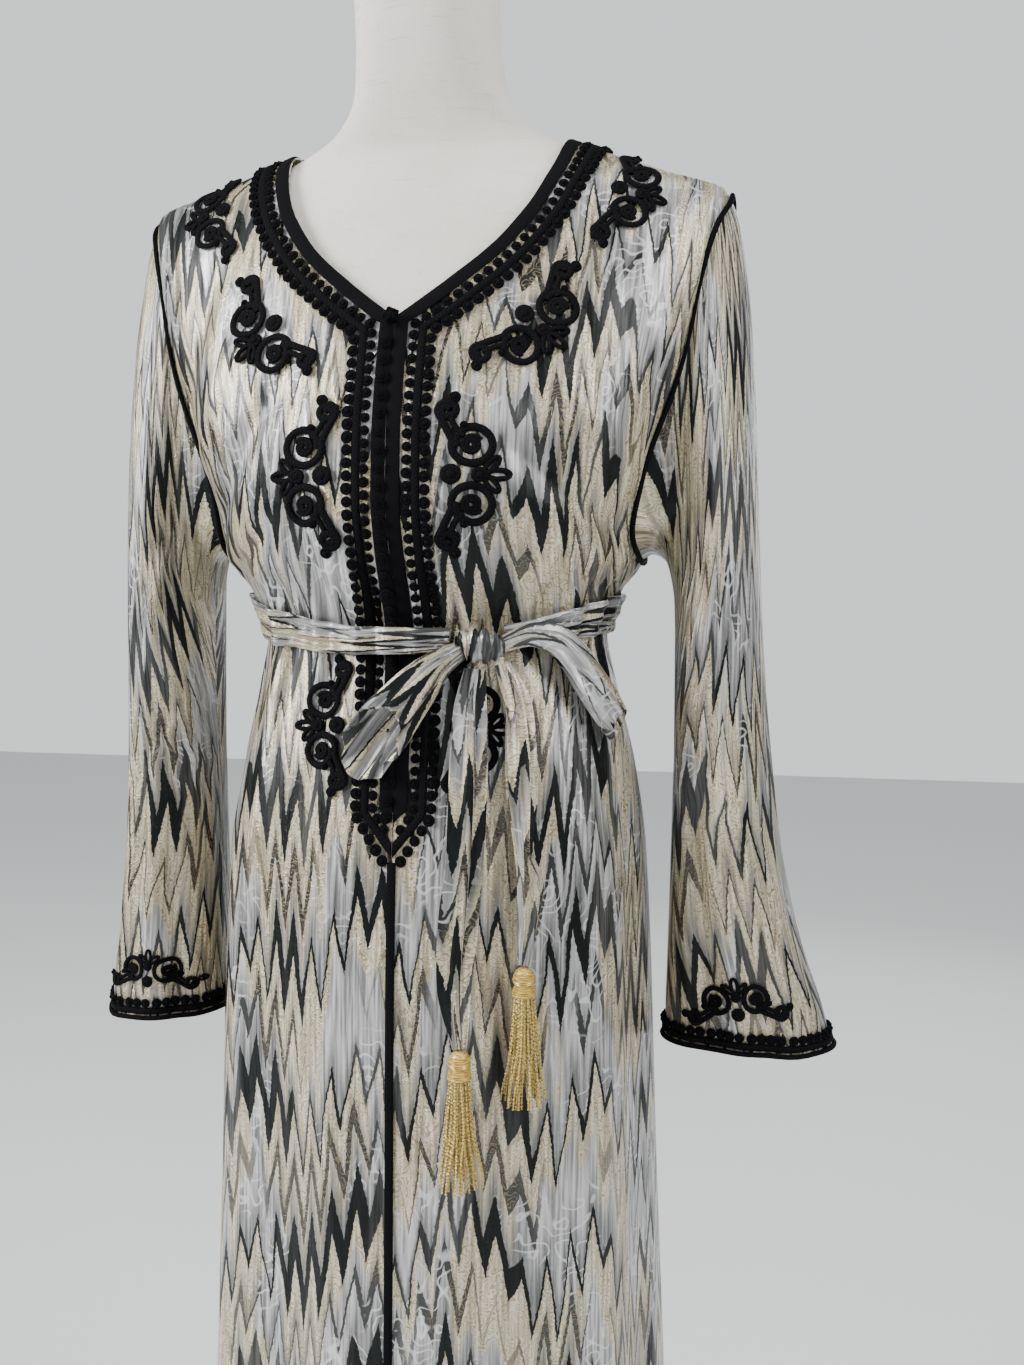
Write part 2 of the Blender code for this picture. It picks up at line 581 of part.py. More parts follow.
def ridge(route):
    """Points and faces of a cord's ridge along a flat route: two edges on the cloth and a crest."""
    route = np.array(route)
    along = unit(np.gradient(route, axis=0))
    side = np.stack([-along[:, 1], along[:, 0]], axis=1) * CORD_WIDTH / 2
    points = []
    for place, aside in zip(route, side):
        points += [(*(place - aside), 0), (*(place + aside), 0), (*place, CORD_HEIGHT)]
    count = len(route)
    faces = grid_faces(count, 3, wrap=True)
    return points, faces + [(2, 1, 0), (3 * count - 3, 3 * count - 2, 3 * count - 1)]


def dome(along, out, radius, length=0.0, turn=0.0, sides=6):
    """A low ball or petal: its outline on the cloth and a smaller outline above."""
    turn = math.radians(turn)
    points = []
    for level, share in ((0.0, 1.0), (CORD_HEIGHT * 1.15, 0.55)):
        for k in range(sides):
            a = 2 * math.pi * k / sides
            u, v = radius * share * math.sin(a), (length / 2 or radius) * share * math.cos(a)
            points.append((along + u * math.cos(turn) + v * math.sin(turn),
                           out - u * math.sin(turn) + v * math.cos(turn), level))
    faces = [(j, (j + 1) % sides, sides + (j + 1) % sides, sides + j) for j in range(sides)]
    return points, faces + [tuple(reversed(range(sides))), tuple(range(sides, 2 * sides))]


def scroll_route(mirror):
    """The S of a scroll: out from the coil's middle, across, and round the small curl."""
    (cu, cv), (ku, kv) = COIL_AT, CURL_AT
    route = []
    for k in range(COIL_STEPS + 1):
        share = k / COIL_STEPS
        a = math.radians(COIL_LEAVES - COIL_TURNS * 360 * (1 - share))
        radius = COIL_START + (COIL_END - COIL_START) * share
        route.append((cu + radius * math.cos(a), cv + radius * math.sin(a)))
    for k in range(CURL_STEPS + 1):
        a = math.radians(CURL_ENTERS + CURL_TURN * k / CURL_STEPS)
        route.append((ku + CURL_RADIUS * math.cos(a), kv + CURL_RADIUS * math.sin(a)))
    return [(u * mirror, v) for u, v in route]


def flat_motif():
    """The whole motif in its own plane, its cords, petals and balls joined into one body."""
    pieces = [ridge(scroll_route(1)), ridge(scroll_route(-1))]
    pieces += [dome(*row) for row in MOTIF_BALLS[1:]]
    for turn, length, width in MOTIF_PETALS[1:]:
        reach = length / 2
        a = math.radians(turn)
        pieces.append(dome(reach * math.sin(a), PETAL_ROOT + reach * math.cos(a), width / 2, length, turn))
    heart_at, heart_width, heart_length = MOTIF_HEART
    pieces.append(dome(0.0, heart_at, heart_width, heart_length))
    whole = None
    for points, faces in pieces:
        piece = add_object("motif_piece", points, faces, THREAD, smooth=False)
        if whole is None:
            whole = piece
            continue
        join = whole.modifiers.new("join", "BOOLEAN")
        join.operation = "UNION"
        join.solver = "MANIFOLD"
        join.object = piece
        graph = bpy.context.evaluated_depsgraph_get()
        graph.update()
        joined = bpy.data.meshes.new_from_object(whole.evaluated_get(graph))
        whole.modifiers.clear()
        whole.data = joined
        bpy.data.objects.remove(piece)
    bm = bmesh.new()
    bm.from_mesh(whole.data)
    bmesh.ops.triangulate(bm, faces=bm.faces)
    bmesh.ops.remove_doubles(bm, verts=bm.verts, dist=SHORTEST_EDGE)
    bmesh.ops.dissolve_degenerate(bm, dist=SHORTEST_EDGE, edges=bm.edges)
    bmesh.ops.triangulate(bm, faces=bm.faces)
    points = np.array([v.co for v in bm.verts])
    faces = [tuple(v.index for v in f.verts) for f in bm.faces]
    bm.free()
    bpy.data.objects.remove(whole)
    return points, faces


def add_motif(name, design, tree, foot, out, away, scale, lift, finish):
    """The flat motif laid on the cloth, its foot at a point and its outward axis along a direction."""
    points, faces = design
    away = unit(away)
    out = unit(np.asarray(out) - away * np.dot(out, away))
    along = np.cross(away, out)
    placed = []
    for u, v, level in points * (scale, scale, 1):
        spot = np.asarray(foot) + along * u + out * v
        near = laid(tree, spot, away, 0.0)
        facing = np.array(tree.find_nearest(near)[1])
        facing = unit(facing * np.sign(np.dot(facing, away)) + away)
        placed.append(near + facing * (lift * MM + level))
    return add_object(name, placed, faces, finish)


# The belt, its bow and the tassels


def on_front(x, z, off):
    """A point off the front of the kaftan, and the outward direction there, level with the floor."""
    depth = float(read(BODY, "front", z))
    share = min(abs(x) / float(read(BODY, "half_width", z)), 0.97)
    square = float(read(BODY, "square", z))
    point = np.array([x, -depth * (1 - share**square) ** (1 / square), z])
    away = outward(point) * (1, 1, 0)
    return point + unit(away) * off, unit(away)


def sash_length(name, table, finish, sides=8):
    """A length of the folded sash along its own line, flattened against the cloth behind it."""
    rows = [dict(zip(table[0], row)) for row in table[1:]]
    middles, aways = zip(*(on_front(row["x"], row["z"], row["off"]) for row in rows))
    along = unit(np.gradient(np.array(middles), axis=0))
    rings = []
    for row, middle, away, ahead in zip(rows, middles, aways, along):
        side = unit(np.cross(ahead, away))
        front = unit(np.cross(side, ahead))
        turns = np.radians(np.arange(sides) * 360 / sides)
        rings.append([middle + side * row["half_width"] * math.cos(a) + front * row["half_depth"] * math.sin(a)
                      for a in turns])
    return tube(name, rings, finish)


def belt(finish):
    """The sash round the waist, lying on the gathered cloth and over the placket's trim."""
    rings = []
    for turn in np.linspace(BELT_START, BELT_END, BELT_STATIONS):
        turn = turn % 360
        height = float(read(BELT_HEIGHTS, "height", turn))
        tall = float(read(BELT_HEIGHTS, "half_height", turn))
        away_from_front = min(turn, 360 - turn)
        over = OVER_TRIM * math.exp(-((away_from_front / 21) ** 4))
        ring = []
        for level, off in ((-1, 0.4), (-0.55, 0.0), (0.55, 0.0), (1, 0.4), (0.5, 1.0), (-0.5, 1.0)):
            z = height + level * tall
            inner = ring_row(z, np.array([turn]))[0]
            away = outward(inner) * (1, 1, 0)
            ring.append(laid(BODY_TREE, inner, away, BELT_GAP + over + off * BELT_THICKNESS))
        rings.append(ring)
    return tube("belt", rings, finish)


def tassel(name, top, away, finish):
    """A gold tassel: a wound head, and strands that hang apart from its foot."""
    bm = bmesh.new()
    sides = TASSEL_SIDES
    profile = ((0.0, 0.35), (0.15, 0.80), (0.45, 1.0), (0.62, 0.78), (0.74, 0.95), (1.0, 1.05))
    side = unit(np.cross(away, (0, 0, 1)))
    rings = []
    for down, wide in profile:
        ring = []
        for k in range(sides):
            a = 2 * math.pi * k / sides
            spot = side * math.cos(a) + np.asarray(away) * math.sin(a)
            place = np.asarray(top) + spot * TASSEL_HEAD_RADIUS * wide - np.array([0, 0, down * TASSEL_HEAD_HEIGHT])
            ring.append(bm.verts.new(place))
        rings.append(ring)
    bm.faces.new(rings[0])
    for upper, lower in zip(rings, rings[1:]):
        for j in range(sides):
            bm.faces.new((upper[j], lower[j], lower[(j + 1) % sides], upper[(j + 1) % sides]))
    foot = np.asarray(top) - np.array([0, 0, TASSEL_HEAD_HEIGHT])
    cells = []
    inner = [bm.verts.new(foot + (np.array(v.co) - foot) * 0.5) for v in rings[-1]]
    middle = bm.verts.new(foot)
    for j in range(sides):
        k = (j + 1) % sides
        cells.append(bm.faces.new((rings[-1][j], inner[j], rings[-1][k])))
        cells.append(bm.faces.new((rings[-1][k], inner[j], inner[k])))
        cells.append(bm.faces.new((inner[j], middle, inner[k])))
    bmesh.ops.recalc_face_normals(bm, faces=bm.faces)
    bmesh.ops.inset_individual(bm, faces=cells, thickness=0.5 * MM, use_even_offset=True)
    for number, cell in enumerate(cells):
        centre = np.array(cell.calc_center_median()) - foot
        grown = bmesh.ops.extrude_discrete_faces(bm, faces=[cell])["faces"][0]
        depth = np.asarray(away) * np.dot(centre, away)
        reach = (centre - depth * (1 - TASSEL_FLATNESS)) * (TASSEL_SPREAD / TASSEL_HEAD_RADIUS - 1)
        drop = TASSEL_LENGTH * (0.93 + 0.07 * math.sin(number * 2.4))
        bmesh.ops.translate(bm, verts=grown.verts, vec=Vector(reach * 0.75 - np.array([0, 0, drop * 0.55])))
        last = bmesh.ops.extrude_discrete_faces(bm, faces=[grown])["faces"][0]
        bmesh.ops.translate(bm, verts=last.verts, vec=Vector(reach * 0.25 - np.array([0, 0, drop * 0.45])))
    mesh = bpy.data.meshes.new(name)
    bm.to_mesh(mesh)
    bm.free()
    mesh.materials.append(finish)
    made = bpy.data.objects.new(name, mesh)
    bpy.context.scene.collection.objects.link(made)
    return made


# Build


for old in list(bpy.data.objects):
    bpy.data.objects.remove(old)

SATIN = material("satin_jacquard", (0.62, 0.61, 0.57), 0.38)
THREAD = material("black_silk_braid", (0.012, 0.012, 0.014), 0.75)
GOLD = material("gold_thread", (0.72, 0.56, 0.24), 0.35, 0.6)
LINEN = material("linen_canvas", (0.78, 0.75, 0.69), 0.9)
STEEL = material("painted_steel", (0.75, 0.74, 0.71), 0.4, 0.3)

# The body panels share the points of their seams
fronts = {hand: panel_half(FRONT, hand, FRONT_COLUMNS, FRONT_LEANS) for hand in (RIGHT, LEFT)}
backs = {hand: panel_half(BACK, hand, BACK_COLUMNS, BACK_LEANS) for hand in (RIGHT, LEFT)}
first_leaning = len(LOWER_ROWS)
sleeves, armhole_normals = {}, {}
for hand in (RIGHT, LEFT):
    front_edge = fronts[hand][first_leaning:, -1]
    back_edge = backs[hand][first_leaning:, -1]
    ring = np.vstack([front_edge, back_edge[-2:0:-1]])
    sleeves[hand] = sleeve_grid(hand, ring)
    ring_out = outward(ring)
    sleeve_out = sheet_normals(sleeves[hand], wrap=True)
    if np.mean(sleeve_out[5:, len(ring) // 2, 0]) * hand < 0:
        sleeve_out = -sleeve_out
    sleeve_out[0] = unit(ring_out + sleeve_out[0])
    armhole_normals[hand] = sleeve_out

half_ring = len(FRONT_LEANS) - 1
for hand, word in ((RIGHT, "right"), (LEFT, "left")):
    grid = fronts[hand]
    normals = outward(grid)
    normals[:, 0] = unit(normals[:, 0] * (0, 1, 1)) if grid[0, 0, 0] == 0 else normals[:, 0]
    normals[first_leaning:, -1] = armhole_normals[hand][0][: half_ring + 1]
    above_v = [i for i in range(len(grid)) if i > first_leaning + FRONT_LEANS.index(V_LEAN)]
    normals[above_v, 0] = outward(grid[above_v, 0])
    rows, columns = grid.shape[:2]
    faces = grid_faces(rows, columns)
    cloth_wall(f"front_{word}", grid.reshape(-1, 3), faces, normals.reshape(-1, 3), SATIN)

back_points, back_normals, index = [], [], {}
nape_row = first_leaning + BACK_LEANS.index(NAPE_LEAN)
for hand in (RIGHT, LEFT):
    normals = outward(backs[hand])
    edge = armhole_normals[hand][0]
    normals[first_leaning:, -1] = np.vstack([edge[:1], edge[:half_ring - 1:-1]])
    for i in range(len(backs[hand])):
        for j in range(BACK_COLUMNS + 1):
            if j == 0 and i <= nape_row and hand == LEFT:
                index[hand, i, j] = index[RIGHT, i, j]
                continue
            index[hand, i, j] = len(back_points)
            back_points.append(backs[hand][i, j])
            back_normals.append(normals[i, j])
back_faces = []
for hand in (RIGHT, LEFT):
    for i in range(len(backs[hand]) - 1):
        for j in range(BACK_COLUMNS):
            face = (index[hand, i, j], index[hand, i + 1, j], index[hand, i + 1, j + 1], index[hand, i, j + 1])
            back_faces.append(face if hand == RIGHT else face[::-1])
cloth_wall("back", back_points, back_faces, back_normals, SATIN)

for hand, word in ((RIGHT, "right"), (LEFT, "left")):
    grid = sleeves[hand]
    faces = grid_faces(*grid.shape[:2], wrap=True)
    cloth_wall(f"sleeve_{word}", grid.reshape(-1, 3), faces, armhole_normals[hand].reshape(-1, 3), SATIN)

# One surface of the whole body, for all that is laid on it
surface_points, surface_faces = list(back_points), list(back_faces)
for hand in (RIGHT, LEFT):
    start = len(surface_points)
    surface_points.extend(fronts[hand].reshape(-1, 3))
    surface_faces.extend(grid_faces(*fronts[hand].shape[:2], start=start))
BODY_TREE = BVHTree.FromPolygons([tuple(p) for p in surface_points], surface_faces)
SLEEVE_TREES = {}
for hand in (RIGHT, LEFT):
    grid = sleeves[hand]
    points, faces = [tuple(p) for p in grid.reshape(-1, 3)], grid_faces(*grid.shape[:2], wrap=True)
    SLEEVE_TREES[hand] = BVHTree.FromPolygons(points, faces)
    start = len(surface_points)
    surface_points.extend(points)
    surface_faces.extend(grid_faces(*grid.shape[:2], start=start, wrap=True))
CLOTH_TREE = BVHTree.FromPolygons([tuple(p) for p in surface_points], surface_faces)

# Braid, buttons and picots
for hand, word in ((RIGHT, "right"), (LEFT, "left")):
    ribbon(f"placket_band_{word}", front_line(BAND_INNER, hand), front_line(BAND_OUTER, hand), BAND_HEIGHT, THREAD)
    ribbon(f"placket_braid_{word}", front_line(BRAID_INNER, hand), front_line(BRAID_OUTER, hand), BRAID_HEIGHT, THREAD)
    beads(f"placket_picots_{word}", front_line(PICOT_LINE, hand, PICOT_TIP), PICOT_PITCH, PICOT_WIDTH,
          PICOT_HEIGHT, 1.5 * LAY_GAP, THREAD)
for name, inner, outer, height in (("back_neck_band", BAND_INNER, BAND_OUTER, BAND_HEIGHT),
                                   ("back_neck_braid", BRAID_INNER, BRAID_OUTER, BRAID_HEIGHT)):
    lines = [resampled(back_line(distance), BACK_STATIONS) for distance in (inner, outer)]
    ribbon(name, *lines, height, THREAD, lift=BACK_LIFT)
beads("back_neck_picots", back_line(PICOT_LINE), PICOT_PITCH, PICOT_WIDTH, PICOT_HEIGHT, BACK_LIFT, THREAD)

v_height = leaning_row(V_LEAN, FRONT)[0, 2]
button_heights = np.linspace(TIP_HEIGHT + 0.034, v_height - 0.012, 30)
button_line = [(BUTTON_X, -float(read(BODY, "front", z)), z) for z in button_heights]
beads("knot_buttons", button_line, BUTTON_PITCH, BUTTON_WIDTH, BUTTON_HEIGHT,
      LAY_GAP + BAND_HEIGHT + BUTTON_GAP, THREAD)
braid_heights = np.linspace(HEM_HEIGHT + 0.002, TIP_HEIGHT - 0.004, 16)
edges = [[(side * FRONT_BRAID_WIDTH / 2, -float(read(BODY, "front", z)), z) for z in braid_heights] for side in (-1, 1)]
ribbon("front_braid", np.array(edges[0]), np.array(edges[1]), BAND_HEIGHT, THREAD, lift=2 * LAY_GAP)

v_place = np.array([0.0, -float(read(BODY, "front", v_height)), v_height])
bm = bmesh.new()
bmesh.ops.create_uvsphere(bm, u_segments=8, v_segments=5, radius=NECK_BUTTON)
mesh = bpy.data.meshes.new("neck_button")
bm.to_mesh(mesh)
bm.free()
mesh.materials.append(THREAD)
neck_button = bpy.data.objects.new("neck_button", mesh)
neck_button.location = laid(BODY_TREE, v_place - (0, 0, 0.004), outward(v_place), BAND_HEIGHT + NECK_BUTTON + BUTTON_LIFT)
bpy.context.scene.collection.objects.link(neck_button)

for hand, word in ((RIGHT, "right"), (LEFT, "left")):
    ring, out = sleeves[hand][0], armhole_normals[hand][0]
    along = unit(np.roll(ring, -1, axis=0) - np.roll(ring, 1, axis=0))
    rings = []
    for point, away, ahead in zip(ring, out, along):
        side = unit(np.cross(ahead, away)) * PIPING
        feet = [laid(CLOTH_TREE, point + side * share, away, 0.0, PIPING_REACH) for share in (1, 0, -1)]
        rise = max(np.dot(foot - point, away) for foot in feet) + PIPING_GAP
        foot = point + away * rise
        rings.append([foot + side, foot + side * 0.6 + away * 2 * PIPING, foot - side * 0.6 + away * 2 * PIPING,
                      foot - side])
    tube(f"armhole_piping_{word}", rings, THREAD, closed=True)

# Cuffs
for hand, word in ((RIGHT, "right"), (LEFT, "left")):
    grid, normals = sleeves[hand], armhole_normals[hand]
    rings = []
    for k in range(2 * CUFF_WAVES):
        at = k * grid.shape[1] / (2 * CUFF_WAVES)
        low, share = int(at) % grid.shape[1], at - int(at)
        high = (low + 1) % grid.shape[1]
        foot = grid[-1, low] * (1 - share) + grid[-1, high] * share
        above = grid[-2, low] * (1 - share) + grid[-2, high] * share
        away = unit(normals[-1, low] * (1 - share) + normals[-1, high] * share)
        up = unit(above - foot)
        tall = CUFF_BAND + (CUFF_PICOT if k % 2 else 0.0)
        spots = (foot + up * CUFF_EASE, foot + up * tall)
        low, high = (laid(SLEEVE_TREES[hand], spot, away, CUFF_GAP, PIPING_REACH) for spot in spots)
        rings.append([low, high, high + away * CUFF_HEIGHT, low + away * CUFF_HEIGHT])
    tube(f"cuff_braid_{word}", rings, THREAD, closed=True)

# Scroll motifs on the fronts, shoulders and cuffs
MOTIF = flat_motif()
for name, x, z, turn, scale, lift in MOTIFS[1:]:
    for hand, word in ((RIGHT, "right"), (LEFT, "left")):
        foot = on_front(x * hand, z, 0.0)[0]
        angle = math.radians(turn)
        out = (hand * math.cos(angle), 0, math.sin(angle))
        add_motif(f"motif_{name}_{word}", MOTIF, BODY_TREE, foot, out, outward(foot), scale, lift, THREAD)
for hand, word in ((RIGHT, "right"), (LEFT, "left")):
    row = leaning_row(SHOULDER_MOTIF_LEAN, FRONT)
    foot = np.array([np.interp(SHOULDER_MOTIF_X, row[:, 0], row[:, k]) for k in range(3)]) * (hand, 1, 1)
    add_motif(f"motif_shoulder_{word}", MOTIF, BODY_TREE, foot, (hand, 0, -0.25), outward(foot),
              SHOULDER_MOTIF_SCALE, SHOULDER_MOTIF_LIFT, THREAD)
    grid = sleeves[hand]
    front_column = len(FRONT_LEANS) // 2
    foot, above = grid[-1, front_column], grid[-3, front_column]
    up = unit(above - foot)
    add_motif(f"motif_cuff_{word}", MOTIF, SLEEVE_TREES[hand], foot + up * CUFF_MOTIF_RISE, up,
              np.array(CUFF_AWAY) * (hand, 1, 1), CUFF_MOTIF_SCALE[hand], CUFF_MOTIF_LIFT, THREAD)

belt(SATIN)
sash_length("belt_knot", KNOT, SATIN)
sash_length("bow_loop_left", LEFT_LOOP, SATIN)
sash_length("bow_loop_right", RIGHT_LOOP, SATIN)
sash_length("belt_tail_left", LEFT_TAIL, SATIN)
sash_length("belt_tail_right", RIGHT_TAIL, SATIN)
for word, tail in (("left", LEFT_TAIL), ("right", RIGHT_TAIL)):
    x, z, off = tail[-1][:3]
    foot, away = on_front(x, z, off)
    tassel(f"tassel_{word}", foot - np.array([0, 0, TASSEL_DROP]), away, GOLD)

# The dress form
turns = np.radians(np.arange(FORM_SIDES) * 360 / FORM_SIDES)
rings = []
for height, half_width, front, back, middle in FORM[1:]:
    depth = np.where(np.sin(turns) < 0, front, back)
    power = 2 / 2.2
    x = half_width * np.sign(np.cos(turns)) * np.abs(np.cos(turns)) ** power
    y = middle + depth * np.sign(np.sin(turns)) * np.abs(np.sin(turns)) ** power
    rings.append(np.stack([x, y, np.full_like(x, height)], axis=1))
tube("form_torso", rings, LINEN)
cap_rings = []
for rise, share in ((SEAM_GAP, 0.96), (CAP_THICKNESS * 0.7, 0.93), (CAP_THICKNESS, 0.75)):
    middle = rings[-1].mean(axis=0)
    cap_rings.append((rings[-1][::2] - middle) * share + middle + (0, 0, rise))
tube("form_neck_cap", cap_rings, LINEN)


def turned(name, profile, sides, finish):
    spots = np.radians(np.arange(sides) * 360 / sides)
    rows = [[(r * math.cos(a), r * math.sin(a), z) for a in spots] for r, z in profile]
    return tube(name, rows, finish)


turned("form_pole", ((POLE_RADIUS, BASE_THICKNESS + SEAM_GAP), (POLE_RADIUS, FORM[1][0] - SEAM_GAP)), 12, STEEL)
base_profile = ((BASE_RADIUS - 0.002, 0.0), (BASE_RADIUS, 0.002), (BASE_RADIUS, BASE_THICKNESS - 0.003),
                (BASE_RADIUS - 0.004, BASE_THICKNESS))
turned("form_base", base_profile, BASE_SIDES, STEEL)
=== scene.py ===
"""A Moroccan kaftan with black braided trim and a tied sash, standing on a limbless dress form."""

import math

import bmesh
import bpy
import numpy as np
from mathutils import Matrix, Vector
from mathutils.bvhtree import BVHTree


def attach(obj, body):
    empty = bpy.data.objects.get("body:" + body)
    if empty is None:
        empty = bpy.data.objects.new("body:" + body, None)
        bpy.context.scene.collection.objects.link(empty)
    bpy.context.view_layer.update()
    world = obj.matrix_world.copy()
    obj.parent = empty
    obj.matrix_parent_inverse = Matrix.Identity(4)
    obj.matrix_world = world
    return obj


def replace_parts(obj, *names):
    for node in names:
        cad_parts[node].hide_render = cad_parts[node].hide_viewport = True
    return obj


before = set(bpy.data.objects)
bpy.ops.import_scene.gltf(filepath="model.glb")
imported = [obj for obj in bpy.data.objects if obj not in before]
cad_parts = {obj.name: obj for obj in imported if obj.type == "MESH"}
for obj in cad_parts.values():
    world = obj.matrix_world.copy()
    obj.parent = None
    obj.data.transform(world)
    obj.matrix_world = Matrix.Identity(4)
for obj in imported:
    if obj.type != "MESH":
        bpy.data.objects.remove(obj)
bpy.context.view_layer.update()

# Camera, lights and floor. The camera stands at chest height a little to the kaftan's left and looks
# slightly down, and the light is a large soft window on each side with a pale wall all round.

CAMERA_AT = (0.294, -1.101, 1.080)
CAMERA_TURN, CAMERA_PITCH = 11.87, 4.97
FOCAL_PIXELS, PICTURE_HEIGHT, SENSOR_HEIGHT = 1386.0, 1365.0, 36.0
WINDOWS = (
    ("window_left", (-2.3, -1.3, 2.1), (0, 0, 1.0), (0.9, 1.7), 150),
    ("window_right", (2.2, -1.1, 2.2), (0, 0, 1.0), (0.8, 1.7), 62),
    ("window_front", (0.7, -2.9, 1.9), (0, 0, 0.9), (1.6, 1.6), 20),
    ("window_top", (0.0, -0.3, 3.0), (0, 0, 1.2), (1.4, 1.0), 22),
    ("window_behind", (0.6, 2.6, 1.8), (0, 0, 1.0), (2.0, 2.0), 24),
)
# The wall as the cloth is lit by it, and as the camera sees it
WALL_COLOUR, WALL_LIGHT, WALL_SEEN = (0.88, 0.90, 0.92, 1), 0.24, 1.15
FLOOR_REACH = 6
FLOOR_FINISH = {"Base Color": (0.56, 0.57, 0.57, 1), "Roughness": 0.7,
                "Emission Color": (0.96, 0.98, 1.0, 1), "Emission Strength": 0.42}

camera = bpy.data.objects.new("camera", bpy.data.cameras.new("camera"))
camera.data.sensor_fit = "VERTICAL"
camera.data.sensor_height = SENSOR_HEIGHT
camera.data.lens = FOCAL_PIXELS / PICTURE_HEIGHT * SENSOR_HEIGHT
camera.data.clip_start = 0.01
camera.location = CAMERA_AT
camera.rotation_euler = (math.radians(90 - CAMERA_PITCH), 0, math.radians(CAMERA_TURN))
bpy.context.scene.collection.objects.link(camera)
bpy.context.scene.camera = camera

for name, place, target, size, power in WINDOWS:
    lamp = bpy.data.objects.new(name, bpy.data.lights.new(name, "AREA"))
    lamp.data.shape, lamp.data.size, lamp.data.size_y = "RECTANGLE", *size
    lamp.data.energy = power
    lamp.location = place
    lamp.rotation_euler = (Vector(target) - Vector(place)).to_track_quat("-Z", "Y").to_euler()
    bpy.context.scene.collection.objects.link(lamp)

world = bpy.data.worlds.new("pale_wall")
world.use_nodes = True
wall_nodes, wall_links = world.node_tree.nodes, world.node_tree.links
wall_nodes["Background"].inputs["Color"].default_value = WALL_COLOUR
seen = wall_nodes.new("ShaderNodeMapRange")
seen.inputs["To Min"].default_value, seen.inputs["To Max"].default_value = WALL_LIGHT, WALL_SEEN
wall_links.new(wall_nodes.new("ShaderNodeLightPath").outputs["Is Camera Ray"], seen.inputs["Value"])
wall_links.new(seen.outputs["Result"], wall_nodes["Background"].inputs["Strength"])
bpy.context.scene.world = world

floor_mesh = bpy.data.meshes.new("floor")
corners = [(x * FLOOR_REACH, y * FLOOR_REACH, 0) for x, y in ((-1, -1), (1, -1), (1, 1), (-1, 1))]
floor_mesh.from_pydata(corners, [], [(0, 1, 2, 3)])
pale_floor = bpy.data.materials.new("pale_floor")
pale_floor.use_nodes = True
for key, value in FLOOR_FINISH.items():
    pale_floor.node_tree.nodes["Principled BSDF"].inputs[key].default_value = value
floor_mesh.materials.append(pale_floor)
floor = bpy.data.objects.new("floor", floor_mesh)
bpy.context.scene.collection.objects.link(floor)


# Dress form. A limbless bust padded and covered in unbleached linen, cut off flat at the neck and at the
# hips, on a painted steel pole with a round plate for a foot.

FORM_SECTIONS = (
    ("height", "half_width", "front", "back", "middle"),
    (0.790, 0.128, 0.090, 0.090, 0.0),
    (0.797, 0.143, 0.104, 0.103, 0.0),
    (0.840, 0.154, 0.114, 0.113, 0.0),
    (0.900, 0.149, 0.110, 0.108, 0.0),
    (0.960, 0.133, 0.098, 0.095, 0.0),
    (1.020, 0.119, 0.088, 0.082, 0.0),
    (1.080, 0.134, 0.106, 0.090, 0.0),
    (1.140, 0.150, 0.130, 0.102, 0.0),
    (1.200, 0.162, 0.124, 0.110, 0.0),
    (1.257, 0.178, 0.1105, 0.112, 0.0),
    (1.300, 0.188, 0.0930, 0.104, 0.0),
    (1.330, 0.193, 0.0790, 0.090, 0.0),
    (1.352, 0.194, 0.0665, 0.075, 0.0),
    (1.3710, 0.191, 0.0530, 0.0580, 0.0),
    (1.3860, 0.150, 0.0440, 0.0490, 0.0),
    (1.4010, 0.1115, 0.0375, 0.0425, 0.0),
    (1.420, 0.078, 0.0420, 0.0430, -0.0030),
    (1.445, 0.0610, 0.0500, 0.0500, -0.0090),
    (1.490, 0.0560, 0.0550, 0.0550, -0.0180),
    (1.550, 0.0560, 0.0560, 0.0560, -0.0250),
)
FORM_AROUND, FORM_STEP, FORM_SQUARE = 96, 0.006, 2.2
NECK_TOP, CAP_ROUNDING = 1.550, ((0.985, 0.004), (0.93, 0.009), (0.80, 0.012))
POLE_RADIUS, BASE_RADIUS, BASE_THICKNESS, POLE_GAP = 0.014, 0.145, 0.012, 0.0003
POLE_MIDDLE, BASE_EDGE = 0.40, 0.002


def read(table, name, at):
    """A named column of a table at any value of its first column, on a curve that never overshoots."""
    rows = np.array(table[1:], float)
    keys, values = rows[:, 0], rows[:, table[0].index(name)]
    rise = np.diff(values) / np.diff(keys)
    product = rise[:-1] * rise[1:]
    total = np.where(product > 0, rise[:-1] + rise[1:], 1.0)
    slopes = np.concatenate([rise[:1], np.where(product > 0, 2 * product / total, 0.0), rise[-1:]])
    at = np.clip(np.asarray(at, float), keys[0], keys[-1])
    i = np.clip(np.searchsorted(keys, at, side="right") - 1, 0, len(keys) - 2)
    span = keys[i + 1] - keys[i]
    t = (at - keys[i]) / span
    return (
        (1 + 2 * t) * (1 - t) ** 2 * values[i]
        + t * (1 - t) ** 2 * span * slopes[i]
        + t * t * (3 - 2 * t) * values[i + 1]
        + t * t * (t - 1) * span * slopes[i + 1]
    )


def unit(vectors):
    vectors = np.asarray(vectors, float)
    return vectors / np.maximum(np.linalg.norm(vectors, axis=-1, keepdims=True), 1e-12)


def new_mesh(name, points, faces, uvs):
    """A mesh with one cloth layer: uvs holds a (u, v) for each corner of each face in turn."""
    mesh = bpy.data.meshes.new(name)
    mesh.from_pydata([tuple(p) for p in points], [], faces)
    mesh.uv_layers.new(name="cloth").data.foreach_set("uv", np.asarray(uvs, float).ravel())
    return mesh


def as_piece(name, mesh, sharp):
    """This mesh as a piece of the object, smooth but for edges sharper than this angle."""
    mesh.shade_smooth()
    mesh.set_sharp_from_angle(angle=math.radians(sharp))
    made = bpy.data.objects.new(name, mesh)
    bpy.context.scene.collection.objects.link(made)
    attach(made, "root")
    return made


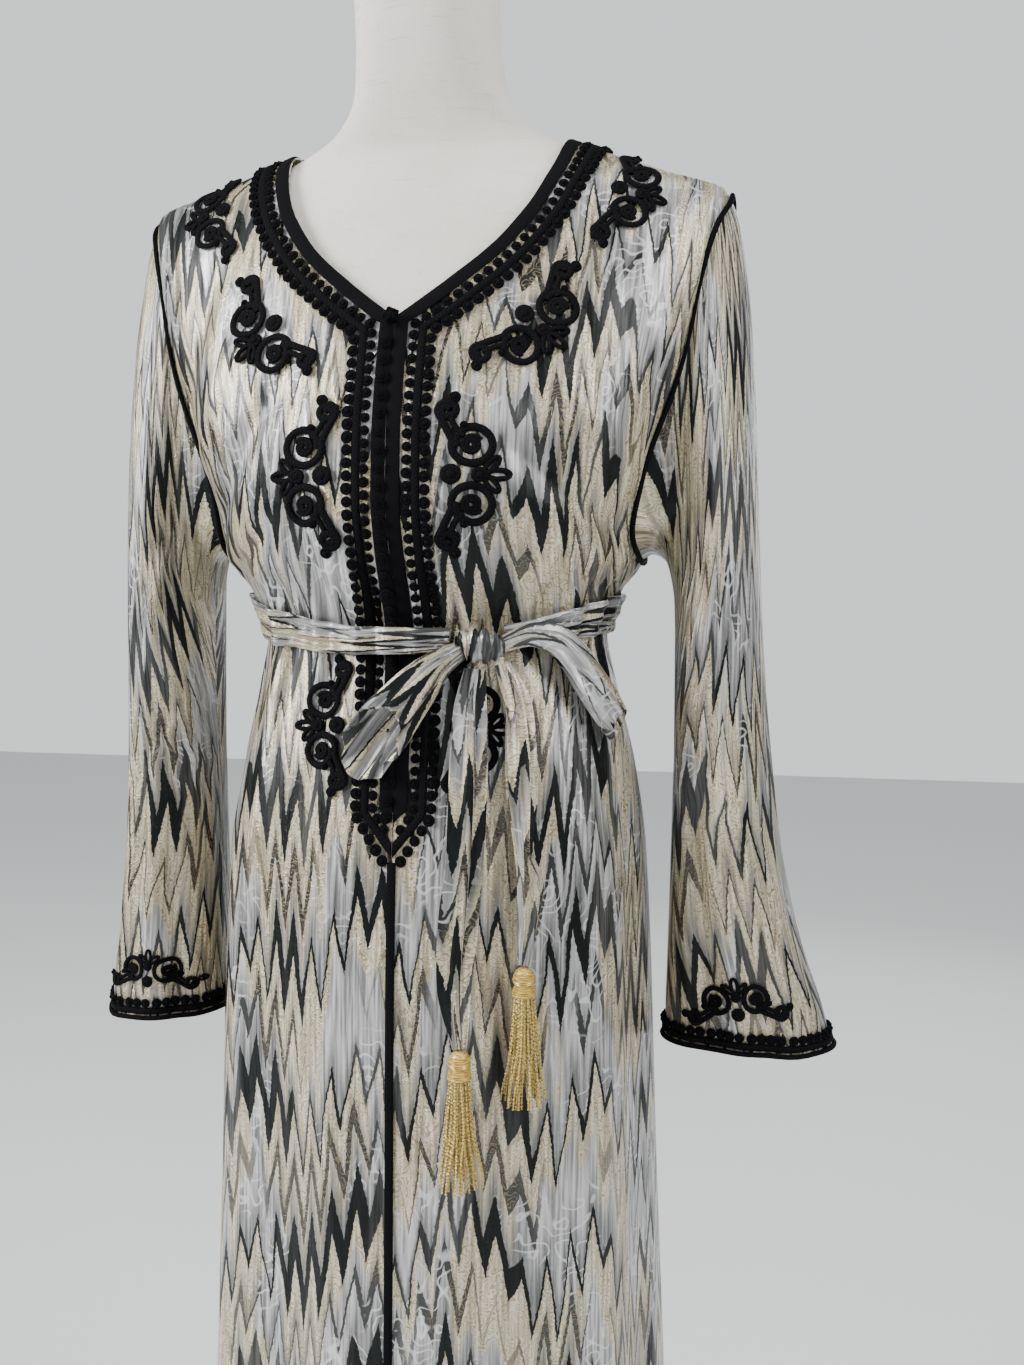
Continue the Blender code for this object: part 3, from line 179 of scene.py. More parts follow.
def add_piece(name, points, faces, finish, uvs, sharp=50):
    mesh = new_mesh(name, points, faces, uvs)
    mesh.materials.append(finish)
    return as_piece(name, mesh, sharp)


def tube_faces(count, sides, start=0, round_ends=True, closed=False):
    """Quads round a run of rings whose points turn left seen from the far end, with or without end caps."""
    faces, uvs = [], []
    for i in range(count if closed else count - 1):
        for j in range(sides):
            a, b, k, n = start + i * sides, start + (i + 1) % count * sides, (j + 1) % sides, j + 1
            faces.append((a + j, a + k, b + k, b + j))
            uvs += [(i, j / sides), (i, n / sides), (i + 1, n / sides), (i + 1, j / sides)]
    if round_ends and not closed:
        faces += [tuple(start + j for j in reversed(range(sides))),
                  tuple(start + (count - 1) * sides + j for j in range(sides))]
        uvs += [(0, j / sides) for j in reversed(range(sides))] + [(count, j / sides) for j in range(sides)]
    return faces, uvs


class Nodes:
    """A node tree that is wired as it is written."""

    def __init__(self, tree):
        self.tree = tree

    def put(self, socket, value):
        if isinstance(value, bpy.types.NodeSocket):
            self.tree.links.new(value, socket)
        else:
            socket.default_value = value

    def fill(self, node, inputs):
        for key, value in inputs.items():
            self.put(node.inputs[key], value)

    def add(self, kind, inputs=None, **settings):
        node = self.tree.nodes.new(kind)
        for key, value in settings.items():
            setattr(node, key, value)
        self.fill(node, inputs or {})
        return node

    def math(self, operation, *values):
        node = self.add("ShaderNodeMath", operation=operation)
        for socket, value in zip(node.inputs, values):
            self.put(socket, value)
        return node.outputs[0]

    def plus(self, first, *others):
        for other in others:
            first = self.math("ADD", first, other)
        return first

    def times(self, first, *others):
        for other in others:
            first = self.math("MULTIPLY", first, other)
        return first

    def less(self, first, second):
        return self.math("SUBTRACT", first, second)

    def inverse(self, mask):
        return self.less(1.0, mask)

    def ribs(self, value):
        """Rounded ribs side by side, one to each half turn of the value."""
        return self.math("ABSOLUTE", self.math("SINE", value))

    def blend(self, share, first, second):
        node = self.add("ShaderNodeMix", data_type="RGBA")
        for key, value in (("Factor_Float", share), ("A_Color", first), ("B_Color", second)):
            self.put(next(s for s in node.inputs if s.identifier == key), value)
        return next(s for s in node.outputs if s.identifier == "Result_Color")

    def step(self, value, low, high):
        return self.add("ShaderNodeMapRange", {"Value": value, "From Min": low, "From Max": high},
                        interpolation_type="SMOOTHSTEP").outputs[0]

    def scaled(self, vector, scale):
        return self.add("ShaderNodeMapping", {"Vector": vector, "Scale": scale}).outputs[0]

    def split(self, vector):
        return self.add("ShaderNodeSeparateXYZ", {"Vector": vector}).outputs

    def noise(self, place, scale, detail=2.0, roughness=0.5, kind="3D"):
        inputs = {"Scale": scale, "Detail": detail, "Roughness": roughness}
        inputs["W" if kind == "1D" else "Vector"] = place
        return self.add("ShaderNodeTexNoise", inputs, noise_dimensions=kind).outputs["Fac"]

    def bump(self, height, distance, strength, under=None):
        inputs = {"Height": height, "Distance": distance, "Strength": strength}
        return self.add("ShaderNodeBump", {**inputs, "Normal": under} if under else inputs).outputs[0]

    def group(self, tree, **inputs):
        return self.add("ShaderNodeGroup", inputs, node_tree=tree).outputs

    def object_place(self):
        return self.add("ShaderNodeTexCoord").outputs["Object"]

    def cloth_place(self):
        return self.add("ShaderNodeUVMap", uv_map="cloth").outputs[0]


def new_group(name, inputs, outputs, kind="ShaderNodeTree"):
    """A node group with named sockets: (its tree, the Nodes on it, its inputs, its output node)."""
    tree = bpy.data.node_groups.new(name, kind)
    for label, socket, value in inputs:
        made = tree.interface.new_socket(label, in_out="INPUT", socket_type="NodeSocket" + socket)
        if value is not None:
            made.default_value = value
    for label, socket in outputs:
        tree.interface.new_socket(label, in_out="OUTPUT", socket_type="NodeSocket" + socket)
    nodes = Nodes(tree)
    return tree, nodes, nodes.add("NodeGroupInput").outputs, nodes.add("NodeGroupOutput")


def new_finish(name, **constants):
    """A material, the Nodes on it and its shader, with constants on the shader's own sockets."""
    made = bpy.data.materials.new(name)
    made.use_nodes = True
    shader = made.node_tree.nodes["Principled BSDF"]
    for key, value in constants.items():
        shader.inputs[key.replace("_", " ")].default_value = value
    return made, Nodes(made.node_tree), shader


weave_group, w, given, out = new_group(
    "plain_weave",
    [("Vector", "Vector", None), ("Threads", "Float", 1600.0), ("Slub", "Float", 0.5)],
    [("Height", "Float"), ("Slubs", "Float")],
)
axes = w.split(given["Vector"])
warp = w.ribs(w.times(w.plus(axes["X"], w.times(axes["Y"], 0.73)), given["Threads"]))
weft = w.ribs(w.times(axes["Z"], given["Threads"]))
flat_slubs = w.step(w.noise(w.scaled(given["Vector"], (30.0, 30.0, 520.0)), 1.0), 0.60, 0.74)
tall_slubs = w.step(w.noise(w.scaled(given["Vector"], (420.0, 420.0, 28.0)), 1.0), 0.62, 0.76)
slubs = w.math("MAXIMUM", flat_slubs, tall_slubs)
w.fill(out, {"Height": w.plus(w.times(warp, weft), w.times(slubs, given["Slub"])), "Slubs": slubs})

linen, n, shader = new_finish("linen_cover", Roughness=0.92, Sheen_Weight=0.25)
place = n.object_place()
weave = n.group(weave_group, Vector=place, Threads=2600.0, Slub=0.8)
pale = n.blend(n.step(n.noise(place, 9.0, 3.0), 0.35, 0.7), (0.80, 0.77, 0.71, 1), (0.74, 0.705, 0.64, 1))
n.fill(shader, {"Base Color": n.blend(n.times(weave["Slubs"], 0.35), pale, (0.55, 0.50, 0.42, 1)),
                "Normal": n.bump(weave["Height"], 0.00045, 0.8)})

form_foot, first_step = FORM_SECTIONS[1][0], FORM_SECTIONS[2][0]
heights = np.array([form_foot, *np.arange(first_step, NECK_TOP, FORM_STEP), NECK_TOP])
turns = np.linspace(0, 2 * math.pi, FORM_AROUND, endpoint=False)
rings = []
for height in heights:
    half_width, front, back, middle = (read(FORM_SECTIONS, key, height) for key in FORM_SECTIONS[0][1:])
    across, ahead = (np.sign(way) * np.abs(way) ** (2 / FORM_SQUARE) for way in (np.cos(turns), np.sin(turns)))
    y = ahead * np.where(ahead < 0, front, back) + middle
    rings.append(np.stack([half_width * across, y, np.full(FORM_AROUND, height)], axis=1))
neck_ring = rings[-1]
middle = neck_ring.mean(axis=0)
for share, rise in CAP_ROUNDING:
    rings.append((neck_ring - middle) * share + middle + (0, 0, rise))
faces, uvs = tube_faces(len(rings), FORM_AROUND)
dress_form = add_piece("dress_form", np.vstack(rings), faces, linen, uvs)
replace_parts(dress_form, "form_torso", "form_neck_cap")

steel, n, shader = new_finish("painted_pole", Metallic=0.0, Coat_Weight=0.3)
place = n.object_place()
mottle = n.step(n.noise(place, 60.0), 0.45, 0.75)
n.fill(shader, {"Base Color": n.blend(mottle, (0.62, 0.61, 0.58, 1), (0.56, 0.55, 0.52, 1)),
                "Roughness": n.plus(n.times(n.noise(place, 140.0), 0.15), 0.32),
                "Normal": n.bump(n.noise(place, 900.0), 0.0002, 0.4)})

# Round pieces turned from (radius, height) pairs, from the underside up
pole = [(POLE_RADIUS, z) for z in (BASE_THICKNESS + POLE_GAP, POLE_MIDDLE, form_foot - POLE_GAP)]
base = [(BASE_RADIUS - BASE_EDGE, 0.0), (BASE_RADIUS, BASE_EDGE), (BASE_RADIUS, BASE_THICKNESS - 0.003),
        (BASE_RADIUS - 0.001, BASE_THICKNESS - 0.001), (BASE_RADIUS - 0.004, BASE_THICKNESS),
        (0.03, BASE_THICKNESS)]
for name, profile, sides, node in (("pole", pole, 48, "form_pole"), ("base_plate", base, 96, "form_base")):
    spots = np.linspace(0, 2 * math.pi, sides, endpoint=False)
    points = [(r * math.cos(a), r * math.sin(a), z) for r, z in profile for a in spots]
    faces, uvs = tube_faces(len(profile), sides)
    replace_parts(add_piece(name, points, faces, steel, uvs, 35), node)


# Body of the kaftan. Two fronts and a back in satin jacquard, printed lengthwise with steep flame zigzags
# and sewn at the shoulders and sides. It hangs from the form's shoulders and is drawn in by the sash.

CLOTH = 0.0012
FRONT, BACK, RIGHT, LEFT = -1, 1, 1, -1
HEM_HEIGHT, UNDERARM_HEIGHT = 0.035, 1.080
V_LEAN, NAPE_LEAN, SHOULDER_LEAN = 57.0, 80.0, 90.0
BODY = (
    ("height", "half_width", "front", "back", "square"),
    (0.035, 0.200, 0.172, 0.168, 2.1),
    (0.250, 0.193, 0.163, 0.160, 2.1),
    (0.450, 0.187, 0.154, 0.152, 2.2),
    (0.600, 0.182, 0.147, 0.146, 2.2),
    (0.750, 0.178, 0.141, 0.140, 2.2),
    (0.850, 0.173, 0.134, 0.133, 2.2),
    (0.920, 0.163, 0.125, 0.124, 2.2),
    (0.980, 0.147, 0.114, 0.110, 2.2),
    (1.025, 0.137, 0.108, 0.100, 2.2),
    (1.055, 0.148, 0.118, 0.102, 2.2),
    (1.080, 0.167, 0.131, 0.108, 2.3),
    (1.125, 0.175, 0.143, 0.116, 2.4),
    (1.170, 0.189, 0.140, 0.121, 2.4),
    (1.215, 0.206, 0.129, 0.123, 2.4),
    (1.257, 0.219, 0.115, 0.121, 2.4),
    (1.300, 0.230, 0.098, 0.112, 2.4),
    (1.330, 0.235, 0.084, 0.098, 2.4),
    (1.350, 0.235, 0.073, 0.084, 2.4),
    (1.361, 0.232, 0.066, 0.074, 2.4),
    (1.375, 0.195, 0.056, 0.062, 2.4),
    (1.390, 0.153, 0.047, 0.053, 2.4),
    (1.405, 0.112, 0.040, 0.046, 2.4),
    (1.430, 0.060, 0.035, 0.040, 2.4),
    (1.460, 0.030, 0.030, 0.030, 2.4),
)
FRONT_NECK = (("lean", "x"), (V_LEAN, 0.0), (63, 0.036), (70, 0.074), (77, 0.098), (84, 0.109), (90, 0.112))
BACK_NECK = (("lean", "x"), (NAPE_LEAN, 0.0), (82, 0.045), (84.5, 0.076), (87, 0.098), (90, 0.112))
ARMHOLE = (("lean", "reach"), (0, 0.0), (10, 0.028), (22, 0.054), (45, 0.071), (63, 0.112), (72, 0.158),
           (77, 0.206), (82, 0.252), (90, 0.281))
SKIRT_FOLDS = (
    ("angle", "width", "hem", "hip", "waist"),
    (14, 8, 5.0, 2.5, 1.0), (33, 9, -7.0, -4.0, -1.5), (52, 8, 7.0, 4.0, 1.5), (74, 9, -6.0, -4.5, -2.0),
    (101, 9, 5.0, -1.0, -1.0), (121, 9, -8.0, -4.0, -1.5), (142, 9, 8.0, 5.0, 2.0),
    (163, 8, -6.0, -4.0, -2.0),
    (184, 8, 6.0, 4.0, 2.0), (206, 9, -8.0, -4.5, -1.5), (229, 9, 8.0, 4.5, 1.5), (254, 9, -5.0, -3.5, -1.5),
    (287, 9, -7.0, -5.0, -2.0), (308, 9, 8.0, 4.0, 2.0), (329, 8, -6.0, -3.5, -1.0), (347, 7, 4.0, 2.0, 0.5),
)
FOLD_HEIGHTS, FOLD_STRENGTH = (HEM_HEIGHT, 0.78, 1.0, 1.075), 1.25
# Creases over the body in the front or back view: from one place to another, width and depth in
# millimetres, deeper than zero for a trough and below it for a ridge.
CREASES = {
    FRONT: (
        (0.170, 1.095, 0.080, 1.170, 11, 3.4), (0.150, 1.060, 0.085, 1.105, 8, 2.6),
        (0.172, 1.135, 0.110, 1.235, 10, -2.2),
        (-0.165, 1.100, -0.085, 1.215, 11, 4.2), (-0.150, 1.065, -0.090, 1.110, 8, 3.0),
        (-0.175, 1.150, -0.120, 1.260, 9, -2.4),
        (0.185, 1.200, 0.140, 1.330, 12, 3.4), (-0.190, 1.190, -0.150, 1.320, 12, 3.6),
        (0.120, 1.165, 0.125, 1.300, 9, -1.8),
        (-0.060, 1.050, -0.075, 1.130, 6, 2.2), (0.060, 1.050, 0.070, 1.140, 6, 2.0),
        (-0.105, 1.045, -0.120, 1.110, 6, -2.0),
        (0.105, 1.045, 0.120, 1.100, 6, -2.0), (0.060, 1.000, 0.075, 0.860, 8, 2.4),
        (-0.060, 1.000, -0.080, 0.850, 8, 2.6),
        (0.100, 1.005, 0.125, 0.840, 8, -2.6), (-0.100, 1.005, -0.125, 0.830, 8, -2.8),
        (0.125, 1.000, 0.155, 0.870, 7, 2.2),
        (-0.125, 1.000, -0.158, 0.880, 7, 2.6), (0.080, 0.700, 0.085, 0.330, 12, 2.4),
        (-0.070, 0.640, -0.085, 0.240, 12, 2.6),
        (0.130, 0.560, 0.140, 0.160, 11, -2.4), (-0.120, 0.520, -0.130, 0.120, 11, -2.6),
    ),
    BACK: (
        (0.150, 1.070, 0.060, 1.180, 12, 3.6), (-0.150, 1.070, -0.070, 1.160, 12, 3.6),
        (0.100, 1.060, 0.030, 1.120, 9, -2.6),
        (-0.090, 1.060, -0.020, 1.130, 9, -2.6), (0.190, 1.200, 0.110, 1.290, 12, 2.6),
        (-0.190, 1.210, -0.120, 1.300, 12, 2.6),
        (0.070, 1.000, 0.090, 0.800, 9, 3.0), (-0.075, 1.000, -0.090, 0.780, 9, 3.0),
        (0.020, 1.000, 0.015, 0.760, 8, -2.6),
        (-0.120, 1.000, -0.150, 0.820, 8, -2.4), (0.125, 1.000, 0.150, 0.830, 8, -2.4),
        (0.090, 0.600, 0.100, 0.180, 12, 2.6),
        (-0.050, 0.560, -0.060, 0.140, 12, 2.6),
    ),
}
CREASE_STRENGTH = 1.35
WAIST_HEIGHT, GATHER_REACH, GATHER_DEPTH = 1.026, 0.060, 0.0026
ROW_STEP, LEAN_STEP, BODY_COLUMNS = 0.0095, 1.9, 64
BODY_ROWS = np.arange(HEM_HEIGHT, 1.076, ROW_STEP)
below_v, above_v = np.arange(0, V_LEAN, LEAN_STEP)[:-1], np.linspace(V_LEAN - 1, SHOULDER_LEAN, 27)
front_leans = np.unique([*below_v, V_LEAN, *above_v])
back_leans = np.linspace(0, SHOULDER_LEAN, len(front_leans))
back_leans[np.argmin(np.abs(back_leans - NAPE_LEAN))] = NAPE_LEAN
BODY_LEANS = {FRONT: front_leans, BACK: back_leans}
# The gap left between the two fronts below the neckline, and how far the back's print is moved across
FRONT_GAP, BACK_PRINT_SHIFT = 0.0002, 0.9


def distance_along(points, axis=0):
    """How far each point of a line, or of a grid along this axis, lies from the first."""
    steps = np.cumsum(np.linalg.norm(np.diff(points, axis=axis), axis=-1), axis=axis)
    return np.concatenate([np.zeros_like(np.take(steps, [0], axis=axis)), steps], axis=axis)


def resampled(points, count):
    points = np.asarray(points, float)
    along = distance_along(points)
    at = np.linspace(0, along[-1], count)
    return np.stack([np.interp(at, along, points[:, k]) for k in range(points.shape[1])], axis=1)


def skirt_fold(angle, height):
    stands = np.zeros(np.broadcast(angle, height).shape)
    for turn, width, hem, hip, waist in SKIRT_FOLDS[1:]:
        away = (angle - turn + 180) % 360 - 180
        depth = np.interp(height, FOLD_HEIGHTS, (hem, hip, waist, 0.0)) * FOLD_STRENGTH * 0.001
        stands += depth * np.exp(-((away / width) ** 2))
    return stands


def ring_row(height, angles):
    turn = np.radians(angles)
    power = 2 / read(BODY, "square", height)
    side, ahead = np.sin(turn), np.cos(turn)
    depth = np.where(ahead > 0, read(BODY, "front", height), read(BODY, "back", height))
    x = read(BODY, "half_width", height) * np.sign(side) * np.abs(side) ** power
    y = -depth * np.sign(ahead) * np.abs(ahead) ** power
    stands = skirt_fold(np.asarray(angles, float), height)
    return np.stack([x + stands * side, y - stands * ahead, np.full_like(x, height)], axis=1)


def outside(points):
    x, y, z = points[..., 0], points[..., 1], points[..., 2]
    square = read(BODY, "square", z)
    depth = np.where(y < 0, read(BODY, "front", z), read(BODY, "back", z))
    return (np.abs(x) / read(BODY, "half_width", z)) ** square + (np.abs(y) / depth) ** square - 1


def outward(points):
    step = 0.0002
    points = np.asarray(points, float)
    slopes = [outside(points + step * axis) - outside(points - step * axis) for axis in np.eye(3)]
    return unit(np.stack(slopes, axis=-1))


def leaning_row(lean, face):
    """Outer points of the row in one leaning plane, from the neckline or the centre to the armhole."""
    swing = np.radians(np.linspace(89.95, 0.05, 240))
    tilt = math.radians(lean)
    rays = np.stack([np.cos(swing), face * np.sin(swing) * math.cos(tilt), np.sin(swing) * math.sin(tilt)], axis=1)
    near, far = np.full(len(swing), 0.05), np.full(len(swing), 0.42)
    start = np.array([0, 0, UNDERARM_HEIGHT])
    for _ in range(26):
        between = (near + far) / 2
        beyond = outside(start + rays * between[:, None]) > 0
        far, near = np.where(beyond, between, far), np.where(beyond, near, between)
    points = start + rays * far[:, None]
    neck, first = (FRONT_NECK, V_LEAN) if face == FRONT else (BACK_NECK, NAPE_LEAN)
    x_in = 0.0 if lean <= first else float(read(neck, "x", lean))
    order = np.arange(len(points))
    from_neck = 0.0 if x_in == 0 else np.interp(x_in, points[:, 0], order)
    to_armhole = np.interp(-read(ARMHOLE, "reach", lean), -far * np.sin(swing), order)
    inside = np.arange(math.ceil(from_neck + 0.5), math.floor(to_armhole - 0.5))
    at = np.array([from_neck, *inside, to_armhole])
    row = np.stack([np.interp(at, order, points[:, k]) for k in range(3)], axis=1)
    row[0, 0] = x_in
    return row


def grid_normals(grid, wrap=False):
    across = np.roll(grid, -1, axis=1) - np.roll(grid, 1, axis=1) if wrap else np.gradient(grid, axis=1)
    return unit(np.cross(across, np.gradient(grid, axis=0)))


def panel_normals(grid):
    normals = grid_normals(grid)
    return normals * np.sign(np.sum(normals * outward(grid), axis=2, keepdims=True))


def level_arc(x, z):
    """How far each point lies from the body's centre line, measured along the cloth at its own height."""
    steps = np.linspace(0, 1, 33)
    half, depth, square = (read(BODY, key, z)[..., None] for key in ("half_width", "front", "square"))
    along = x[..., None] * steps
    ahead = depth * (1 - np.clip(along / half, 0, 1) ** square) ** (1 / square)
    return np.hypot(np.diff(along, axis=-1), np.diff(ahead, axis=-1)).sum(axis=-1)


def cloth_grid(hand, face):
    """(outer points, cloth coordinates) of half a body panel, rows from the hem up, columns from the centre."""
    angles = hand * np.linspace(0.0 if face == FRONT else 180.0, 90.0, 181)
    columns = np.arange(BODY_COLUMNS + 1)
    rows = [ring_row(height, angles) * (hand, 1, 1) for height in BODY_ROWS]
    rows += [leaning_row(lean, face) for lean in BODY_LEANS[face]]
    grid = np.array([resampled(row, len(columns)) for row in rows])
    across = distance_along(grid, 1) + grid[:, :1, 0]
    up = np.repeat(grid[:, :1, 2], len(columns), axis=1)
    # Above the underarm the rows lean, so the print there is laid level by height
    leaning = len(BODY_ROWS)
    middle = grid[leaning - 1:, BODY_COLUMNS // 2]
    across[leaning:] = level_arc(grid[leaning:, :, 0], grid[leaning:, :, 2])
    up[leaning:] = BODY_ROWS[-1] + np.interp(grid[leaning:, :, 2], middle[1:, 2], distance_along(middle)[1:])
    normals = outward(grid)
    x, z = grid[..., 0] * hand, grid[..., 2]
    edge = np.clip((BODY_COLUMNS - columns) / 4, 0, 1) * np.clip(columns / 5, 0, 1)
    sunk = np.zeros(x.shape)
    for ax, az, bx, bz, width, depth in CREASES[face]:
        dx, dz = bx - ax, bz - az
        length = math.hypot(dx, dz)
        along, off = ((x - ax) * dx + (z - az) * dz) / length**2, ((x - ax) * dz - (z - az) * dx) / length
        fade = np.exp(-((np.maximum(np.abs(along - 0.5) - 0.3, 0) / 0.22) ** 2))
        sunk += depth * 0.001 * CREASE_STRENGTH * fade * np.exp(-((off / (width * 0.001)) ** 2))
    turn = np.arctan2(x, face * grid[..., 1])
    gathers = np.sin(turn * 23 + 1.3 * np.sin(turn * 5)) + 0.6 * np.sin(turn * 37 + 0.7)
    sunk += GATHER_DEPTH * gathers * np.exp(-(((z - WAIST_HEIGHT) / GATHER_REACH) ** 2))
    grid = grid - normals * (sunk * edge)[..., None]
    return grid * (hand, 1, 1), np.stack([across * hand, up], axis=-1)


def grid_quads(rows, columns, start=0, wrap=False):
    """The quads of a grid of points, row by row, each as the numbers of its four points."""
    i, j = np.indices((rows - 1, columns if wrap else columns - 1)).reshape(2, -1)
    k = (j + 1) % columns
    low, high = i * columns, (i + 1) * columns
    return start + np.stack([low + j, low + k, high + k, high + j], axis=1)


def quad_uvs(cloth):
    return np.stack([cloth[:-1, :-1], cloth[:-1, 1:], cloth[1:, 1:], cloth[1:, :-1]], axis=2).reshape(-1, 4, 2)


def closed_wall(name, points, normals, quads, uvs, rim_uvs, finish):
    """A closed wall of cloth: the outer quads, the same moved in by its thickness, and the rim between."""
    count = len(points)
    faces = quads.tolist() + (quads[:, ::-1] + count).tolist()
    corners = [*uvs.reshape(-1, 2), *uvs[:, ::-1].reshape(-1, 2)]
    uses = {}
    for face in faces[: len(quads)]:
        for n in range(4):
            uses.setdefault(frozenset((face[n], face[n - 1])), []).append((face[n - 1], face[n]))
    for pairs in uses.values():
        if len(pairs) == 1:
            a, b = pairs[0]
            faces.append((b, a, a + count, b + count))
            corners += [rim_uvs[b], rim_uvs[a], rim_uvs[a], rim_uvs[b]]
    both = np.vstack([points, points - normals * CLOTH])
    return add_piece(name, both, faces, finish, corners, 60)


def cloth_wall(name, grid, cloth, normals, finish, wrap=False):
    """A grid of cloth as a closed wall, its outer side to its normals."""
    rows, columns = grid.shape[:2]
    points, normals = grid.reshape(-1, 3), normals.reshape(-1, 3)
    quads, uvs = grid_quads(rows, columns, wrap=wrap), quad_uvs(cloth)
    a, b, c = (points[quads[:, n]] for n in range(3))
    if np.einsum("ij,ij->i", np.cross(b - a, c - a), normals[quads[:, 0]]).mean() < 0:
        quads, uvs = quads[:, ::-1], uvs[:, ::-1]
    return closed_wall(name, points, normals, quads, uvs, cloth[:, :columns].reshape(-1, 2), finish)


# The print runs along the cloth's own u (across) and v (lengthwise), both in metres. Its teeth of uneven
# height march up and down in slower steps.
PRINT_REPEAT, TOOTH_WIDTH, TOOTH_HEIGHT = 0.118, 0.0190, 0.050
MARCH_WIDTH, MARCH_HEIGHT, DRIFT = 0.118, 0.105, 0.22
# In shares of a repeat: the thinnest dark flame and what the thickest adds, how far its grey fades on, and
# the thin line's foot, its top and what the thickest adds
FLAME, FLAME_MORE, FADE = 0.088, 0.22, 0.40
LINE_FOOT, LINE_TOP, LINE_MORE = 0.548, 0.610, 0.110
# Colours, each from its dark streaks to its pale ones
SILVER = ((0.150, 0.151, 0.150, 1), (0.530, 0.528, 0.518, 1))
CREAM = ((0.340, 0.292, 0.190, 1), (0.670, 0.605, 0.455, 1))
GREY = ((0.050, 0.052, 0.051, 1), (0.170, 0.172, 0.170, 1))
DARK = ((0.0020, 0.0026, 0.0026, 1), (0.0095, 0.0118, 0.0116, 1))
GILT_THREAD, PALE_THREAD = (0.235, 0.18, 0.085, 1), (0.74, 0.745, 0.75, 1)

print_group, w, given, out = new_group(
    "flame_print",
    [("Cloth", "Vector", None), ("Tooth", "Float", TOOTH_WIDTH), ("Shift", "Float", 0.0)],
    [("Colour", "Color"), ("Gilt", "Float"), ("Height", "Float"), ("Shine", "Float")],
)
cloth = given["Cloth"]
axes = w.split(cloth)
ragged = w.times(w.less(w.noise(cloth, 260.0, 3.0, 0.6), 0.5), 0.0030)
slow = w.times(w.less(w.noise(cloth, 14.0, 1.0), 0.5), 0.010)
u = w.plus(axes["X"], w.plus(ragged, slow, given["Shift"]))
beat = w.plus(0.55, w.times(w.noise(u, 24.0, 0.0, 0.5, "1D"), 0.9))
teeth = w.times(w.math("PINGPONG", w.math("DIVIDE", u, given["Tooth"]), 0.5), 2.0, TOOTH_HEIGHT, beat)
march = w.times(w.math("PINGPONG", w.math("DIVIDE", u, MARCH_WIDTH), 0.5), MARCH_HEIGHT)
drift = w.times(w.less(w.noise(u, 7.0, 1.0, 0.5, "1D"), 0.5), DRIFT)
level = w.math("DIVIDE", w.plus(w.plus(axes["Y"], teeth), w.plus(march, drift)), PRINT_REPEAT)
row, share = w.math("FLOOR", level), w.math("FRACT", level)
# Two chances for each flame, that change across the cloth and from row to row
spots = [w.add("ShaderNodeCombineXYZ", {"X": w.times(u, across), "Y": w.plus(w.times(row, down), start)})
         for across, down, start in ((17.0, 3.7, 0.0), (21.0, 5.1, 40.0))]
chance, chance_b = (w.noise(spot.outputs[0], 1.0, 1.0) for spot in spots)
patches = w.noise(w.scaled(cloth, (17.0, 4.2, 1.0)), 1.0, 2.0)
warmth = w.step(w.plus(patches, w.times(w.less(share, 0.5), 0.20)), 0.47, 0.53)
streak = w.noise(w.scaled(cloth, (420.0, 16.0, 1.0)), 1.0, 2.0)
silver, cream, grey = (w.blend(w.step(streak, 0.3, 0.7), *shades) for shades in (SILVER, CREAM, GREY))
dark = w.blend(streak, *DARK)
# Grounds of cream and silver, with greys that fade up from each dark flame
thick = w.plus(FLAME, w.times(w.step(chance, 0.44, 0.58), FLAME_MORE))
fade_to = w.plus(thick, w.times(w.step(chance_b, 0.36, 0.58), FADE))
is_dark = w.inverse(w.step(share, w.less(thick, 0.010), w.plus(thick, 0.006)))
is_grey = w.inverse(w.step(share, thick, w.plus(fade_to, 0.02)))
line_top = w.plus(LINE_TOP, w.times(w.step(chance_b, 0.42, 0.58), LINE_MORE))
past_top = w.step(share, line_top, w.plus(line_top, 0.012))
line = w.times(w.step(share, LINE_FOOT, LINE_FOOT + 0.008), w.inverse(past_top))
line_shade = w.times(w.step(share, LINE_FOOT + 0.008, 0.60), w.inverse(w.step(share, 0.66, 0.90)))
dyed = w.plus(0.68, w.times(w.step(chance_b, 0.40, 0.52), 0.32))
colour = w.blend(warmth, silver, cream)
colour = w.blend(w.times(line_shade, w.times(w.step(chance, 0.38, 0.56), 0.80)), colour, grey)
colour = w.blend(w.times(is_grey, 0.85), colour, grey)
colour = w.blend(w.times(line, w.step(chance, 0.32, 0.46)), colour, dark)
colour = w.blend(w.times(w.step(share, 0.90, 1.0), 0.30), colour, grey)
colour = w.blend(w.times(is_dark, dyed), colour, dark)
# Woven relief: gilt vermicelli on the cream, larger pale scrolls on the silver and grey
vermicelli = w.inverse(w.step(w.ribs(w.times(w.noise(cloth, 105.0, 1.0, 0.4), 30.0)), 0.25, 0.62))
broad = w.inverse(w.step(w.ribs(w.times(w.noise(cloth, 34.0, 1.5), 27.0)), 0.16, 0.46))
scrolls = w.times(broad, w.step(w.noise(cloth, 15.0), 0.46, 0.56))
not_dark = w.inverse(is_dark)
gilt = w.times(w.times(vermicelli, warmth), w.times(not_dark, w.inverse(is_grey)))
colour = w.blend(w.times(gilt, 0.66), colour, GILT_THREAD)
colour = w.blend(w.times(scrolls, w.inverse(warmth), not_dark, 0.50), colour, PALE_THREAD)
w.fill(out, {"Colour": colour, "Gilt": gilt,
             "Height": w.plus(w.times(vermicelli, w.times(warmth, 0.8)), w.times(scrolls, 0.4)),
             "Shine": w.inverse(w.math("MAXIMUM", is_dark, w.times(is_grey, 0.5)))})


